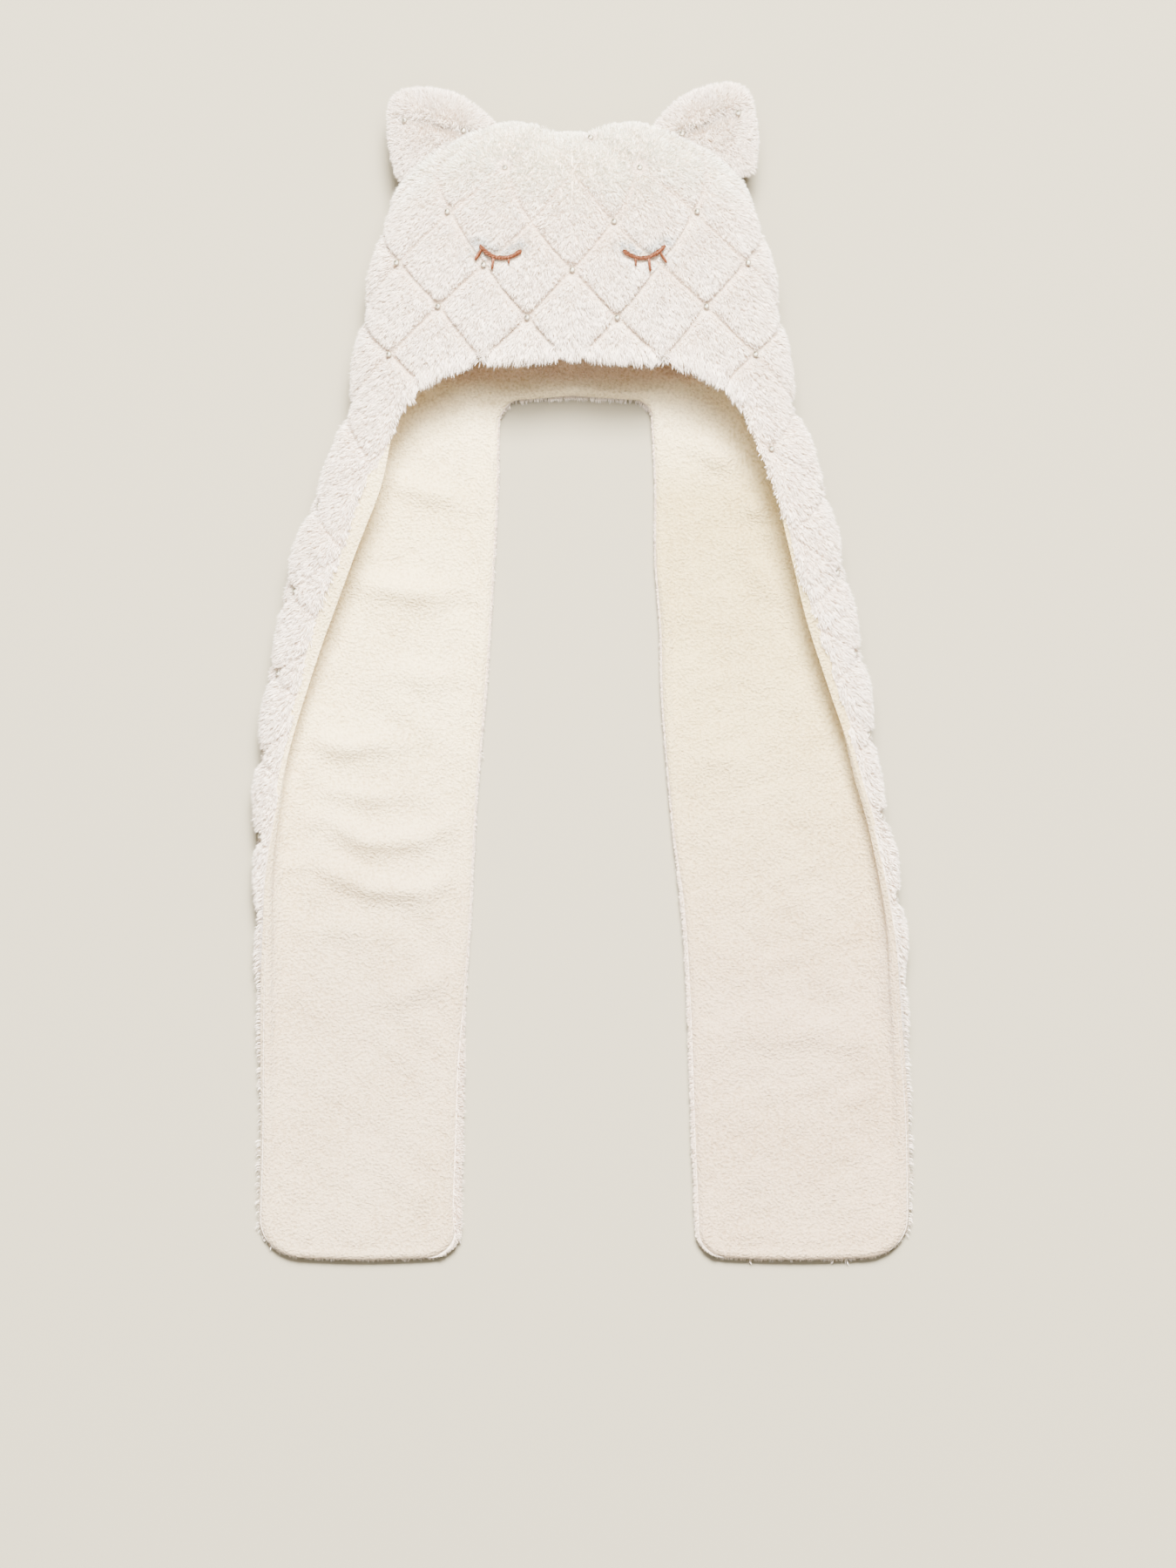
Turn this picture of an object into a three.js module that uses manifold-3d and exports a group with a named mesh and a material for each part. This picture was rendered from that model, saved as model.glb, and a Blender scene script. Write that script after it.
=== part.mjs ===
// Animal hood scarf: a quilted fur hood with cat ears whose two sides run on into long scarf
// tails. It lies on its back: the face opening points up, the sides of the hood curl up off the
// floor and over, and the tails are spread out with their lining side up.
// Millimetres. X runs across the hood, Y from the tail ends to the crown, Z up from the floor.
// Left and right are those of someone looking down on it.

import * as THREE from 'three';
import { mergeVertices } from 'three/addons/utils/BufferGeometryUtils.js';
import Module from 'manifold-3d';

const wasm = await Module();
wasm.setup();

// Hood
const HOOD_WIDTH = 290; // over the fur, at the eyes
const NECK_WIDTH = 320; // over the fur, where the tails begin
const CROWN_WIDTH = 134; // straight middle stretch of the crown
const HOOD_HEIGHT = 193; // neck hem to crown, over the fur
const HOOD_DEPTH = 95; // floor to the top of the forehead
const FOREHEAD_DEPTH = 77; // floor to the top of the hood at the face opening
const FOREHEAD_HEIGHT = 31; // neck hem to the middle of the front edge
const FACE_OPENING_WIDTH = 244; // across the front edge where it turns down the sides
const CHEEK_DROP = 53; // height of the arc of the front edge
const CROWN_REACH = 97; // from the widest level to the crown seam, seen from above
const CROWN_LIFT = 32; // crown seam above the back of the hood
const SIDE_RADIUS = 30; // roundness of the sides of the hood
const CORNER_FULLNESS = 0.85; // below 1 squares the corners of the crown
const CROWN_SLACK = 0.13; // how much later the crown turns over than an even arc would, in radians
const CROWN_CLOSING = 0.995; // share of the crown's arc that the panels cover before they meet
const CHEEK_PULL = 8; // how far the fabric over the cheeks is pulled up
const CHEEK_LOW = -60; // levels between which the pull grows to its full size
const CHEEK_HIGH = 20;

// Tails
const TAIL_LENGTH = 617; // neck hem to tail end
const TAIL_END_RADIUS = 26;
const STRAIGHT_FROM = 0.08; // the shares of the tail between which its edges follow the tables
const STRAIGHT_TO = 0.95;
const NECK_CORNER_RADIUS = 11;

// Layers
const FUR_LOFT = 11; // quilted fur at the middle of a diamond
const SEWN_LOFT = 3; // quilted fur along a sewn line
const FLOOR_LOFT = 8; // quilted fur where the weight lies on it
const LINING_THICKNESS = 2.5;
const GAP = 0.3;
const SEAM_GAP = 0.4; // between the two halves
const LINING_INSET = 2;
const NAP = 0.1; // unevenness of the cloth, which keeps its net from lying in one plane
const SEAM_WAVER = 0.1; // and of its cut edges at the seams
const RIM_BEVEL = 7; // rounding of the cut edge of the fur, across
const RIM_BEVEL_HEIGHT = 12; // and through its loft
const RIM_BEVEL_START = 2; // above the fur's backing
const SILHOUETTE_SHARE = 0.9; // share of the loft that shows in the outline
const SEAM_START = 1; // from the end of a seam to the first point where it wavers

// Quilting: diamonds on the point, with a crossing at the middle of the forehead
const QUILT_PITCH = 65.6;
const TAIL_QUILT_PITCH = 58;
const FIRST_CROSSING = 25; // neck hem to the lowest crossing on the middle line
const LEFT_NECK_TUCK = 17; // length taken up where the tail turns out of the hood
const RIGHT_NECK_TUCK = 3;
const NECK_TUCK_REACH = 46; // fabric below the hem over which most of that is taken up
const TAIL_DRIFT = 20; // how far the quilting drifts round the side down a tail
const DRIFT_START = 98; // fabric below the hem where the drift begins
const DRIFT_REACH = 197; // and over which it grows

// Ears, eyes and beads
const EAR_WIDTH = 78;
const EAR_HEIGHT = 69; // root to tip
const EAR_THICKNESS = 26;
const EAR_SPACING = 182; // between the middles of the ear creases
const EAR_LEVEL = 194; // neck hem to the middle of the ear crease
const EAR_ROUNDING = 10; // of its rim
const EAR_CREASE_DEPTH = 4;
const EAR_CLEARANCE = 1; // between an ear's root and the full loft of the hood
const LEFT_EAR_TILT = (10 * Math.PI) / 180;
const RIGHT_EAR_TILT = (20 * Math.PI) / 180;
const EYE_WIDTH = 32;
const EYE_DROP = 6.5; // height of the arc
const EYE_SPACING = 108;
const EYE_LEVEL = 103;
const EYE_POINTS = 11; // along its arc
const THREAD_RADIUS = 1.1;
const THREAD_CLEARANCE = 1; // over the puffs that it crosses
const BEAD_DIAMETER = 4.2;
const SEAT_REACH = 24; // the facets this near a crossing are the walls of a bead's seat
const SEAT_STEP = 0.05;

// One row for each section of a tail from the neck to its end. `at` is a share of TAIL_LENGTH.
// `outer` and `inner` are the two silhouettes as shares of NECK_WIDTH. `radius` is the roundness
// of the curled side and `lap` the length of fabric in the curl, as shares of HOOD_DEPTH.
const LEFT_TAIL = [
  { at: 0, outer: 0.5, inner: 0.162, radius: 0.295, lap: 0.98 },
  { at: 0.042, outer: 0.525, inner: 0.165, radius: 0.29, lap: 0.94 },
  { at: 0.104, outer: 0.566, inner: 0.167, radius: 0.275, lap: 0.8 },
  { at: 0.185, outer: 0.627, inner: 0.175, radius: 0.25, lap: 0.77 },
  { at: 0.266, outer: 0.658, inner: 0.184, radius: 0.21, lap: 0.6 },
  { at: 0.347, outer: 0.689, inner: 0.195, radius: 0.18, lap: 0.51 },
  { at: 0.428, outer: 0.709, inner: 0.209, radius: 0.165, lap: 0.44 },
  { at: 0.498, outer: 0.712, inner: 0.219, radius: 0.16, lap: 0.37 },
  { at: 0.6, outer: 0.716, inner: 0.228, radius: 0.17, lap: 0.26 },
  { at: 0.7, outer: 0.721, inner: 0.241, radius: 0.19, lap: 0.19 },
  { at: 0.853, outer: 0.723, inner: 0.247, radius: 0.21, lap: 0.11 },
  { at: 1, outer: 0.732, inner: 0.253, radius: 0.21, lap: 0.06 },
];
const RIGHT_TAIL = [
  { at: 0, outer: 0.5, inner: 0.177, radius: 0.295, lap: 0.98 },
  { at: 0.042, outer: 0.523, inner: 0.181, radius: 0.29, lap: 0.95 },
  { at: 0.104, outer: 0.566, inner: 0.186, radius: 0.28, lap: 0.86 },
  { at: 0.185, outer: 0.603, inner: 0.186, radius: 0.255, lap: 0.78 },
  { at: 0.266, outer: 0.638, inner: 0.197, radius: 0.21, lap: 0.62 },
  { at: 0.347, outer: 0.669, inner: 0.201, radius: 0.18, lap: 0.5 },
  { at: 0.428, outer: 0.684, inner: 0.213, radius: 0.165, lap: 0.38 },
  { at: 0.498, outer: 0.713, inner: 0.225, radius: 0.16, lap: 0.35 },
  { at: 0.6, outer: 0.744, inner: 0.247, radius: 0.17, lap: 0.33 },
  { at: 0.7, outer: 0.758, inner: 0.259, radius: 0.19, lap: 0.25 },
  { at: 0.853, outer: 0.778, inner: 0.269, radius: 0.21, lap: 0.13 },
  { at: 1, outer: 0.781, inner: 0.281, radius: 0.21, lap: 0.06 },
];

// Outline of an ear seen from the front, from its outer root round the tip to its inner root and
// back inside the hood. `out` is a share of EAR_WIDTH and `up` of EAR_HEIGHT, from the crease.
const EAR_OUTLINE = [
  { out: 0.24, up: -0.64 },
  { out: 0.4, up: -0.3 },
  { out: 0.49, up: -0.09 },
  { out: 0.53, up: 0.13 },
  { out: 0.48, up: 0.27 },
  { out: 0.3, up: 0.35 },
  { out: 0.04, up: 0.36 },
  { out: -0.16, up: 0.3 },
  { out: -0.36, up: 0.17 },
  { out: -0.5, up: 0.02 },
  { out: -0.42, up: -0.26 },
  { out: -0.1, up: -0.55 },
];

// Beads in the crease of an ear, at shares of EAR_WIDTH outwards from its middle
const EAR_BEADS = [0.38, -0.17];

// Lashes under the arc of an eye. `along` runs from -1 at its inner end to 1 at its outer end,
// `length` is a share of EYE_WIDTH and `lean` of that length, outwards.
const LASHES = [
  { along: -0.35, length: 0.16, lean: -0.1 },
  { along: 0.28, length: 0.3, lean: 0.05 },
  { along: 0.82, length: 0.3, lean: 0.5 },
];

// Crossings of the quilting that carry a bead: `column` and `row` count half pitches from the
// middle of the forehead. In `sides` -1 is left, 1 right and 0 the middle seam.
const BEADED_CROSSINGS = [
  { row: 0, column: 2, sides: [-1, 1] },
  { row: 0, column: 4, sides: [-1, 1] },
  { row: 1, column: 1, sides: [-1, 1] },
  { row: 1, column: 3, sides: [-1, 1] },
  { row: 1, column: 5, sides: [-1, 1] },
  { row: 2, column: 0, sides: [0] },
  { row: 2, column: 2, sides: [-1] },
  { row: 2, column: 4, sides: [-1, 1] },
  { row: 3, column: 1, sides: [1] },
  { row: 3, column: 3, sides: [-1, 1] },
  { row: 4, column: 2, sides: [-1, 1] },
  { row: 5, column: 1, sides: [1] },
];

// Rows of the tails whose outermost crossing carries a bead
const BEADED_TAIL_ROWS = [
  { row: -1, sides: [-1, 1] },
  { row: -2, sides: [-1, 1] },
  { row: -3, sides: [-1, 1] },
  { row: -5, sides: [-1, 1] },
  { row: -7, sides: [-1, 1] },
  { row: -9, sides: [-1, 1] },
  { row: -11, sides: [-1, 1] },
  { row: -13, sides: [1] },
];

const QUARTER_TURN = Math.PI / 2;
const OUTLINE_STEPS = 3;
const BISECTIONS = 40;
const STEP = QUILT_PITCH / 4;
const HALF_PITCH = QUILT_PITCH / 2;

const FUR = new THREE.MeshStandardMaterial({ color: 0xf0ece8, roughness: 0.95, metalness: 0 });
const FLEECE = new THREE.MeshStandardMaterial({ color: 0xf0eadc, roughness: 0.9, metalness: 0 });
const COPPER_THREAD = new THREE.MeshStandardMaterial({ color: 0xa86a52, roughness: 0.4, metalness: 0.6 });
const PEARL = new THREE.MeshStandardMaterial({ color: 0xe9e4da, roughness: 0.2, metalness: 0.1 });

function smooth(t) {
  const x = Math.min(1, Math.max(0, t));
  return x * x * (3 - 2 * x);
}

// Quarter of an ellipse, by its usual approximation
function quarterEllipse(a, b) {
  return (Math.PI / 4) * (3 * (a + b) - Math.sqrt((3 * a + b) * (a + 3 * b)));
}

// Heights of the fur's backing, which is what the sections below describe
const BACK_HEIGHT = FLOOR_LOFT;
const WIDEST_LEVEL = HOOD_HEIGHT - FUR_LOFT - CROWN_REACH;
const WIDEST_ROOF = HOOD_DEPTH - FUR_LOFT - BACK_HEIGHT;
const FOREHEAD_ROOF = FOREHEAD_DEPTH - FUR_LOFT - BACK_HEIGHT;
const CROWN_ARC = quarterEllipse(CROWN_REACH, WIDEST_ROOF - CROWN_LIFT);
const TOP_ROW = WIDEST_LEVEL + CROWN_CLOSING * CROWN_ARC;
const SILHOUETTE_LOFT = FUR_LOFT * SILHOUETTE_SHARE;
const NECK_OUTER = NECK_WIDTH / 2 - SILHOUETTE_LOFT;
const WIDEST_OUTER = HOOD_WIDTH / 2 - SILHOUETTE_LOFT;
const CROWN_OUTER = CROWN_WIDTH / 2 - SILHOUETTE_LOFT;
const TAIL_ROW_SHARE = TAIL_QUILT_PITCH / QUILT_PITCH;

// Smooth value of one column of a tail table at a share of the tail's length
function tailValue(table, column, share) {
  const last = table.length - 1;
  const at = Math.min(1, Math.max(0, share));
  let i = 0;
  while (i < last - 1 && table[i + 1].at < at) i += 1;
  const a = table[i];
  const b = table[i + 1];
  const before = table[Math.max(0, i - 1)];
  const after = table[Math.min(last, i + 2)];
  const width = b.at - a.at;
  const t = (at - a.at) / width;
  const slopeA = i === 0 ? 0 : ((b[column] - before[column]) / (b.at - before.at)) * width;
  const slopeB = ((after[column] - a[column]) / (after.at - a.at)) * width;
  const t2 = t * t;
  const t3 = t2 * t;
  return (2 * t3 - 3 * t2 + 1) * a[column] + (t3 - 2 * t2 + t) * slopeA
    + (3 * t2 - 2 * t3) * b[column] + (t3 - t2) * slopeB;
}

// The fabric is described by u, across it from the middle of the forehead round the side to the
// back, and v, along it from the tail ends to the crown. v is 0 at the neck hem.
function tailLevel(side, v) {
  return TAIL_ROW_SHARE * v - side.tuck * (1 - Math.exp(v / NECK_TUCK_REACH));
}

function fabricRowAt(side, y) {
  let low = -2 * TAIL_LENGTH;
  let high = 0;
  for (let i = 0; i < BISECTIONS; i += 1) {
    const middle = (low + high) / 2;
    if (tailLevel(side, middle) > y) high = middle;
    else low = middle;
  }
  return (low + high) / 2;
}

function crownAngle(v) {
  const t = Math.max(0, v - WIDEST_LEVEL) / CROWN_ARC;
  return QUARTER_TURN * t - CROWN_SLACK * Math.sin(Math.PI * t);
}

function hoodSection(v) {
  const turn = crownAngle(v);
  const full = Math.cos(turn);
  const slope = Math.min(1, v / WIDEST_LEVEL);
  const below = NECK_OUTER + (WIDEST_OUTER - NECK_OUTER) * slope;
  const above = CROWN_OUTER + (WIDEST_OUTER - CROWN_OUTER) * full ** CORNER_FULLNESS;
  const outer = v <= WIDEST_LEVEL ? below : above;
  const roof = FOREHEAD_ROOF + (WIDEST_ROOF - FOREHEAD_ROOF) * smooth(v / WIDEST_LEVEL);
  const neckRadius = LEFT_TAIL[0].radius * HOOD_DEPTH;
  const radius = (neckRadius + (SIDE_RADIUS - neckRadius) * slope) * full;
  return {
    y: Math.min(v, WIDEST_LEVEL) + CROWN_REACH * Math.sin(turn),
    lift: CROWN_LIFT * (1 - full),
    flat: outer - radius,
    radius,
    rise: roof * full - 2 * radius,
  };
}

function tailSection(side, v) {
  const y = tailLevel(side, v);
  const share = -y / TAIL_LENGTH;
  const radius = tailValue(side.table, 'radius', share) * HOOD_DEPTH;
  const lap = tailValue(side.table, 'lap', share) * HOOD_DEPTH;
  const outer = tailValue(side.table, 'outer', share) * NECK_WIDTH - SILHOUETTE_LOFT;
  return {
    y,
    lift: 0,
    flat: outer - radius * Math.sin(Math.min(lap / radius, QUARTER_TURN)),
    radius,
    rise: FOREHEAD_ROOF - 2 * LEFT_TAIL[0].radius * HOOD_DEPTH,
  };
}

// A section is a flat floor, a round side and a roof that is nearly flat
function curlTurn(section) {
  return 2 * Math.atan2(section.flat, section.rise);
}

function roofRadius(section) {
  return section.flat / Math.sin(curlTurn(section)) + section.radius;
}

function frontLength(section) {
  const turn = curlTurn(section);
  return section.radius * turn + roofRadius(section) * (Math.PI - turn);
}

const NECK_SECTION = hoodSection(0);
const CURL_START = frontLength(NECK_SECTION);
const BACK_MIDDLE = CURL_START + NECK_SECTION.flat;

// Where the curl leaves the floor, in fabric across
function curlStart(v) {
  return CURL_START - TAIL_DRIFT * smooth((-v - DRIFT_START) / DRIFT_REACH);
}

// Where a tail's curl ends, in fabric across
function freeEdge(side, v) {
  const share = -tailLevel(side, v) / TAIL_LENGTH;
  return curlStart(v) - tailValue(side.table, 'lap', share) * HOOD_DEPTH;
}

function cheekPull(u, v) {
  const across = Math.sin(Math.PI * Math.min(1, Math.max(0, u / CURL_START)));
  return CHEEK_PULL * across ** 4 * smooth((v - CHEEK_LOW) / (CHEEK_HIGH - CHEEK_LOW));
}

// Point of the fur's backing, for the right-hand side
function backingPoint(side, u, v) {
  const section = v >= 0 ? hoodSection(v) : tailSection(side, v);
  const narrowing = v >= 0 ? frontLength(section) / CURL_START : 1;
  const backNarrowing = v >= 0 ? section.flat / NECK_SECTION.flat : 1;
  const y = section.y + cheekPull(u, v);
  const floor = BACK_HEIGHT + section.lift;
  const start = curlStart(v);
  if (u >= start) {
    return new THREE.Vector3(section.flat - (u - start) * backNarrowing, y, floor);
  }
  const arc = (start - u) * narrowing;
  const turn = curlTurn(section);
  const sideArc = section.radius * turn;
  if (arc <= sideArc) {
    const angle = arc / section.radius;
    const x = section.flat + section.radius * Math.sin(angle);
    return new THREE.Vector3(x, y, floor + section.radius * (1 - Math.cos(angle)));
  }
  const roof = roofRadius(section);
  const angle = turn + (arc - sideArc) / roof;
  const sideX = section.flat + section.radius * Math.sin(turn);
  const sideZ = floor + section.radius * (1 - Math.cos(turn));
  const x = sideX + roof * (Math.sin(angle) - Math.sin(turn));
  return new THREE.Vector3(x, y, sideZ + roof * (Math.cos(turn) - Math.cos(angle)));
}

function backingNormal(side, u, v) {
  const reach = 0.4;
  const above = Math.min(v + reach, TOP_ROW);
  const across = backingPoint(side, u + reach, v).sub(backingPoint(side, u - reach, v));
  const along = backingPoint(side, u, above).sub(backingPoint(side, u, above - 2 * reach));
  return across.cross(along).normalize();
}

// Columns of the fabric's net: wide on the floor and the roof, narrow round the curled side
const FIRST_CURL_COLUMN = Math.floor((CURL_START - 0.98 * HOOD_DEPTH) / STEP);
const LAST_CURL_COLUMN = Math.ceil(CURL_START / STEP);
const LAST_COLUMN = Math.ceil((BACK_MIDDLE + QUILT_PITCH / 2) / STEP) + 1;

function netColumns() {
  const columns = [];
  for (let i = 0; i < FIRST_CURL_COLUMN; i += 2) columns.push(i * STEP);
  for (let i = FIRST_CURL_COLUMN; i < LAST_CURL_COLUMN; i += 1) columns.push(i * STEP);
  for (let i = LAST_CURL_COLUMN; i <= LAST_COLUMN; i += 2) columns.push(i * STEP);
  return columns;
}

// Rows of the fabric from below the tail's end to the crown, a whole number of steps from the
// first crossing and `skip(v)` steps apart
function fabricRows(side, skip) {
  const lowest = fabricRowAt(side, -TAIL_LENGTH) - STEP;
  const first = Math.floor((TOP_ROW - FIRST_CROSSING) / STEP - 0.2);
  const last = Math.floor((lowest - FIRST_CROSSING) / QUILT_PITCH) * 4;
  const rows = [TOP_ROW];
  for (let j = first; j >= last; j -= 1) {
    const v = FIRST_CROSSING + j * STEP;
    if (j % skip(v) === 0) rows.unshift(v);
  }
  return rows;
}

// The crown needs close rows, the neck wider ones and the long tail the widest
function netSkip(v) {
  if (v > WIDEST_LEVEL) return 1;
  return v > -1.6 * QUILT_PITCH ? 2 : 4;
}

function makeNet(side) {
  const columns = netColumns();
  const rows = fabricRows(side, netSkip);
  const points = rows.map((v) => columns.map((u) => backingPoint(side, u, v)));
  const normals = rows.map((v) => columns.map((u) => backingNormal(side, u, v)));
  return { columns, rows, points, normals };
}

function cellOf(lines, value) {
  let i = 0;
  while (i < lines.length - 2 && lines[i + 1] <= value) i += 1;
  const share = (value - lines[i]) / (lines[i + 1] - lines[i]);
  return [i, share];
}

// Corners and weights of the net's facet at (u, v): every cell is split from its low corner to
// its high one
function facetAt(net, u, v) {
  const [i, across] = cellOf(net.columns, u);
  const [j, along] = cellOf(net.rows, v);
  if (across >= along) {
    return [[j, i, 1 - across], [j, i + 1, across - along], [j + 1, i + 1, along]];
  }
  return [[j, i, 1 - along], [j + 1, i + 1, across], [j + 1, i, along - across]];
}

// Place of a fabric point h above the fur's backing (below it is inside)
function wrapped(side, u, v, h) {
  const place = new THREE.Vector3();
  for (const [j, i, weight] of facetAt(side.net, u, v)) {
    place.addScaledVector(side.net.points[j][i], weight);
    place.addScaledVector(side.net.normals[j][i], weight * h);
  }
  place.z = Math.max(0, place.z);
  place.x *= side.sign;
  return place;
}

// Loft of the quilting: full at the middle of a diamond, thin along its sewn sides
function quiltLoft(u, v) {
  const a = (u + v - FIRST_CROSSING) / QUILT_PITCH;
  const b = (u - v + FIRST_CROSSING) / QUILT_PITCH;
  const puff = Math.sqrt(Math.abs(Math.sin(Math.PI * a) * Math.sin(Math.PI * b)));
  return SEWN_LOFT + (FUR_LOFT - SEWN_LOFT) * puff;
}

// Flat triangles of the quilting's fine net. A sewn line crosses each cell from corner to corner
function quiltTriangles(side) {
  const triangles = [];
  const rows = fabricRows(side, () => 1);
  for (let j = 0; j < rows.length - 1; j += 1) {
    for (let i = 0; i < LAST_COLUMN; i += 1) {
      const low = [rows[j], rows[j + 1]];
      const u0 = i * STEP;
      const u1 = u0 + STEP;
      const block = Math.floor(i / 2) + Math.floor((low[0] - FIRST_CROSSING + 0.01) / HALF_PITCH);
      const corners = [[u0, low[0]], [u1, low[0]], [u1, low[1]], [u0, low[1]]];
      if (block % 2 === 0) {
        triangles.push([corners[0], corners[1], corners[2]], [corners[0], corners[2], corners[3]]);
      } else {
        triangles.push([corners[0], corners[1], corners[3]], [corners[1], corners[2], corners[3]]);
      }
    }
  }
  return triangles;
}

function netTriangles(net) {
  const triangles = [];
  for (let j = 0; j < net.rows.length - 1; j += 1) {
    for (let i = 0; i < net.columns.length - 1; i += 1) {
      const [u0, u1] = [net.columns[i], net.columns[i + 1]];
      const [v0, v1] = [net.rows[j], net.rows[j + 1]];
      triangles.push([[u0, v0], [u1, v0], [u1, v1]], [[u0, v0], [u1, v1], [u0, v1]]);
    }
  }
  return triangles;
}

function nap(u, v) {
  return NAP * Math.sin(1.7 * u + 0.9 * v);
}

function key(point) {
  return `${point[0].toFixed(3)},${point[1].toFixed(3)}`;
}

// Edges that only one flat triangle uses, each as the two points it runs between
function openEdges(triangles) {
  const edges = new Map();
  for (const triangle of triangles) {
    for (let k = 0; k < 3; k += 1) {
      const from = triangle[k];
      const to = triangle[(k + 1) % 3];
      const back = `${key(to)} ${key(from)}`;
      if (edges.has(back)) edges.delete(back);
      else edges.set(`${key(from)} ${key(to)}`, [from, to]);
    }
  }
  return [...edges.values()];
}

function toManifold(geometry) {
  const bare = new THREE.BufferGeometry();
  bare.setAttribute('position', geometry.getAttribute('position'));
  bare.setIndex(geometry.getIndex());
  const merged = mergeVertices(bare, 1e-4);
  const vertProperties = new Float32Array(merged.getAttribute('position').array);
  const triVerts = new Uint32Array(merged.getIndex().array);
  return new wasm.Manifold(new wasm.Mesh({ numProp: 3, vertProperties, triVerts }));
}

function toGeometry(manifold) {
  const mesh = manifold.getMesh();
  const positions = [];
  for (let i = 0; i < mesh.vertProperties.length; i += mesh.numProp) {
    positions.push(mesh.vertProperties[i], mesh.vertProperties[i + 1], mesh.vertProperties[i + 2]);
  }
  const geometry = new THREE.BufferGeometry();
  geometry.setAttribute('position', new THREE.Float32BufferAttribute(positions, 3));
  geometry.setIndex([...mesh.triVerts]);
  return geometry;
}

// Solid between two heights over flat triangles
function layerSolid(triangles, lower, upper) {
  const positions = [];
  const put = (point, height) => positions.push(point[0], point[1], height(point[0], point[1]));
  for (const [a, b, c] of triangles) {
    put(a, upper);
    put(b, upper);
    put(c, upper);
    put(a, lower);
    put(c, lower);
    put(b, lower);
  }
  for (const [from, to] of openEdges(triangles)) {
    put(from, lower);
    put(to, lower);
    put(to, upper);
    put(from, lower);
    put(to, upper);
    put(from, upper);
  }
  const geometry = new THREE.BufferGeometry();
  geometry.setAttribute('position', new THREE.Float32BufferAttribute(positions, 3));
  return toManifold(geometry);
}

// Pattern piece of one half in flat fabric: the middle seam of the forehead, the front edge, the
// tail, the neck hem and the middle seam of the back. The crown end is left long.
function patternShape(side, inset, crownRow) {
  const end = fabricRowAt(side, -TAIL_LENGTH) + inset;
  const seam = SEAM_GAP / 2;
  const arcEnd = FACE_OPENING_WIDTH / 2 + inset;
  const arcLow = FOREHEAD_HEIGHT - CHEEK_DROP;
  const crown = crownRow + STEP;
  const outerU = (v) => freeEdge(side, v) + inset;
  const innerU = (v) => {
    const section = tailSection(side, v);
    const inner = tailValue(side.table, 'inner', -section.y / TAIL_LENGTH) * NECK_WIDTH;
    return curlStart(v) + section.flat - inner - inset;
  };
  const endRadius = TAIL_END_RADIUS - inset;
  const neckU = innerU(-NECK_CORNER_RADIUS);
  const shape = new THREE.Shape();
  const foreheadEdge = FOREHEAD_HEIGHT + inset;
  const seamRows = side.net.rows.filter((row) => row > foreheadEdge + SEAM_START && row < crown);
  shape.moveTo(seam, crown);
  seamRows.toReversed().forEach((row, i) => shape.lineTo(seam + (i % 2) * SEAM_WAVER, row));
  shape.lineTo(seam, foreheadEdge);
  shape.absellipse(seam, arcLow, arcEnd - seam, CHEEK_DROP + inset, QUARTER_TURN, 0, true, 0);
  const straight = side.table.filter((row) => row.at > STRAIGHT_FROM && row.at < STRAIGHT_TO);
  const outerPoints = straight.map((row) => {
    const v = fabricRowAt(side, -row.at * TAIL_LENGTH);
    return new THREE.Vector2(outerU(v), v);
  });
  const lastU = outerU(fabricRowAt(side, -STRAIGHT_TO * TAIL_LENGTH));
  outerPoints.push(new THREE.Vector2(lastU, end + endRadius));
  shape.splineThru(outerPoints);
  shape.absarc(lastU + endRadius, end + endRadius, endRadius, Math.PI, 1.5 * Math.PI, false);
  const endU = innerU(end);
  shape.lineTo(endU - endRadius, end);
  shape.absarc(endU - endRadius, end + endRadius, endRadius, -QUARTER_TURN, 0, false);
  const innerPoints = straight.toReversed().map((row) => {
    const v = fabricRowAt(side, -row.at * TAIL_LENGTH);
    return new THREE.Vector2(innerU(v), v);
  });
  const hem = inset;
  const corner = new THREE.Vector2(neckU + NECK_CORNER_RADIUS, hem - NECK_CORNER_RADIUS);
  innerPoints.push(new THREE.Vector2(neckU, corner.y));
  shape.splineThru(innerPoints);
  shape.absarc(corner.x, corner.y, NECK_CORNER_RADIUS, Math.PI, QUARTER_TURN, true);
  shape.lineTo(BACK_MIDDLE - seam, hem);
  const backRows = side.net.rows.filter((row) => row > hem + SEAM_START && row < crown);
  backRows.forEach((row, i) => shape.lineTo(BACK_MIDDLE - seam - (i % 2) * SEAM_WAVER, row));
  shape.lineTo(BACK_MIDDLE - seam, crown);
  shape.closePath();
  return shape;
}

function patternPrism(shape, bevelled) {
  const solid = new THREE.ExtrudeGeometry(shape, {
    depth: RIM_BEVEL_HEIGHT + RIM_BEVEL_START,
    curveSegments: OUTLINE_STEPS,
    bevelEnabled: bevelled,
    bevelThickness: RIM_BEVEL_HEIGHT,
    bevelSize: RIM_BEVEL,
    bevelOffset: -RIM_BEVEL,
    bevelSegments: 2,
  });
  solid.translate(0, 0, -RIM_BEVEL_HEIGHT);
  return toManifold(solid);
}

function wrapSolid(side, manifold) {
  const geometry = toGeometry(manifold);
  const position = geometry.getAttribute('position');
  for (let i = 0; i < position.count; i += 1) {
    const place = wrapped(side, position.getX(i), position.getY(i), position.getZ(i));
    position.setXYZ(i, place.x, place.y, place.z);
  }
  if (side.sign < 0) {
    const index = geometry.getIndex();
    for (let i = 0; i < index.count; i += 3) {
      const first = index.getX(i);
      index.setX(i, index.getX(i + 1));
      index.setX(i + 1, first);
    }
  }
  return geometry;
}

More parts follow.
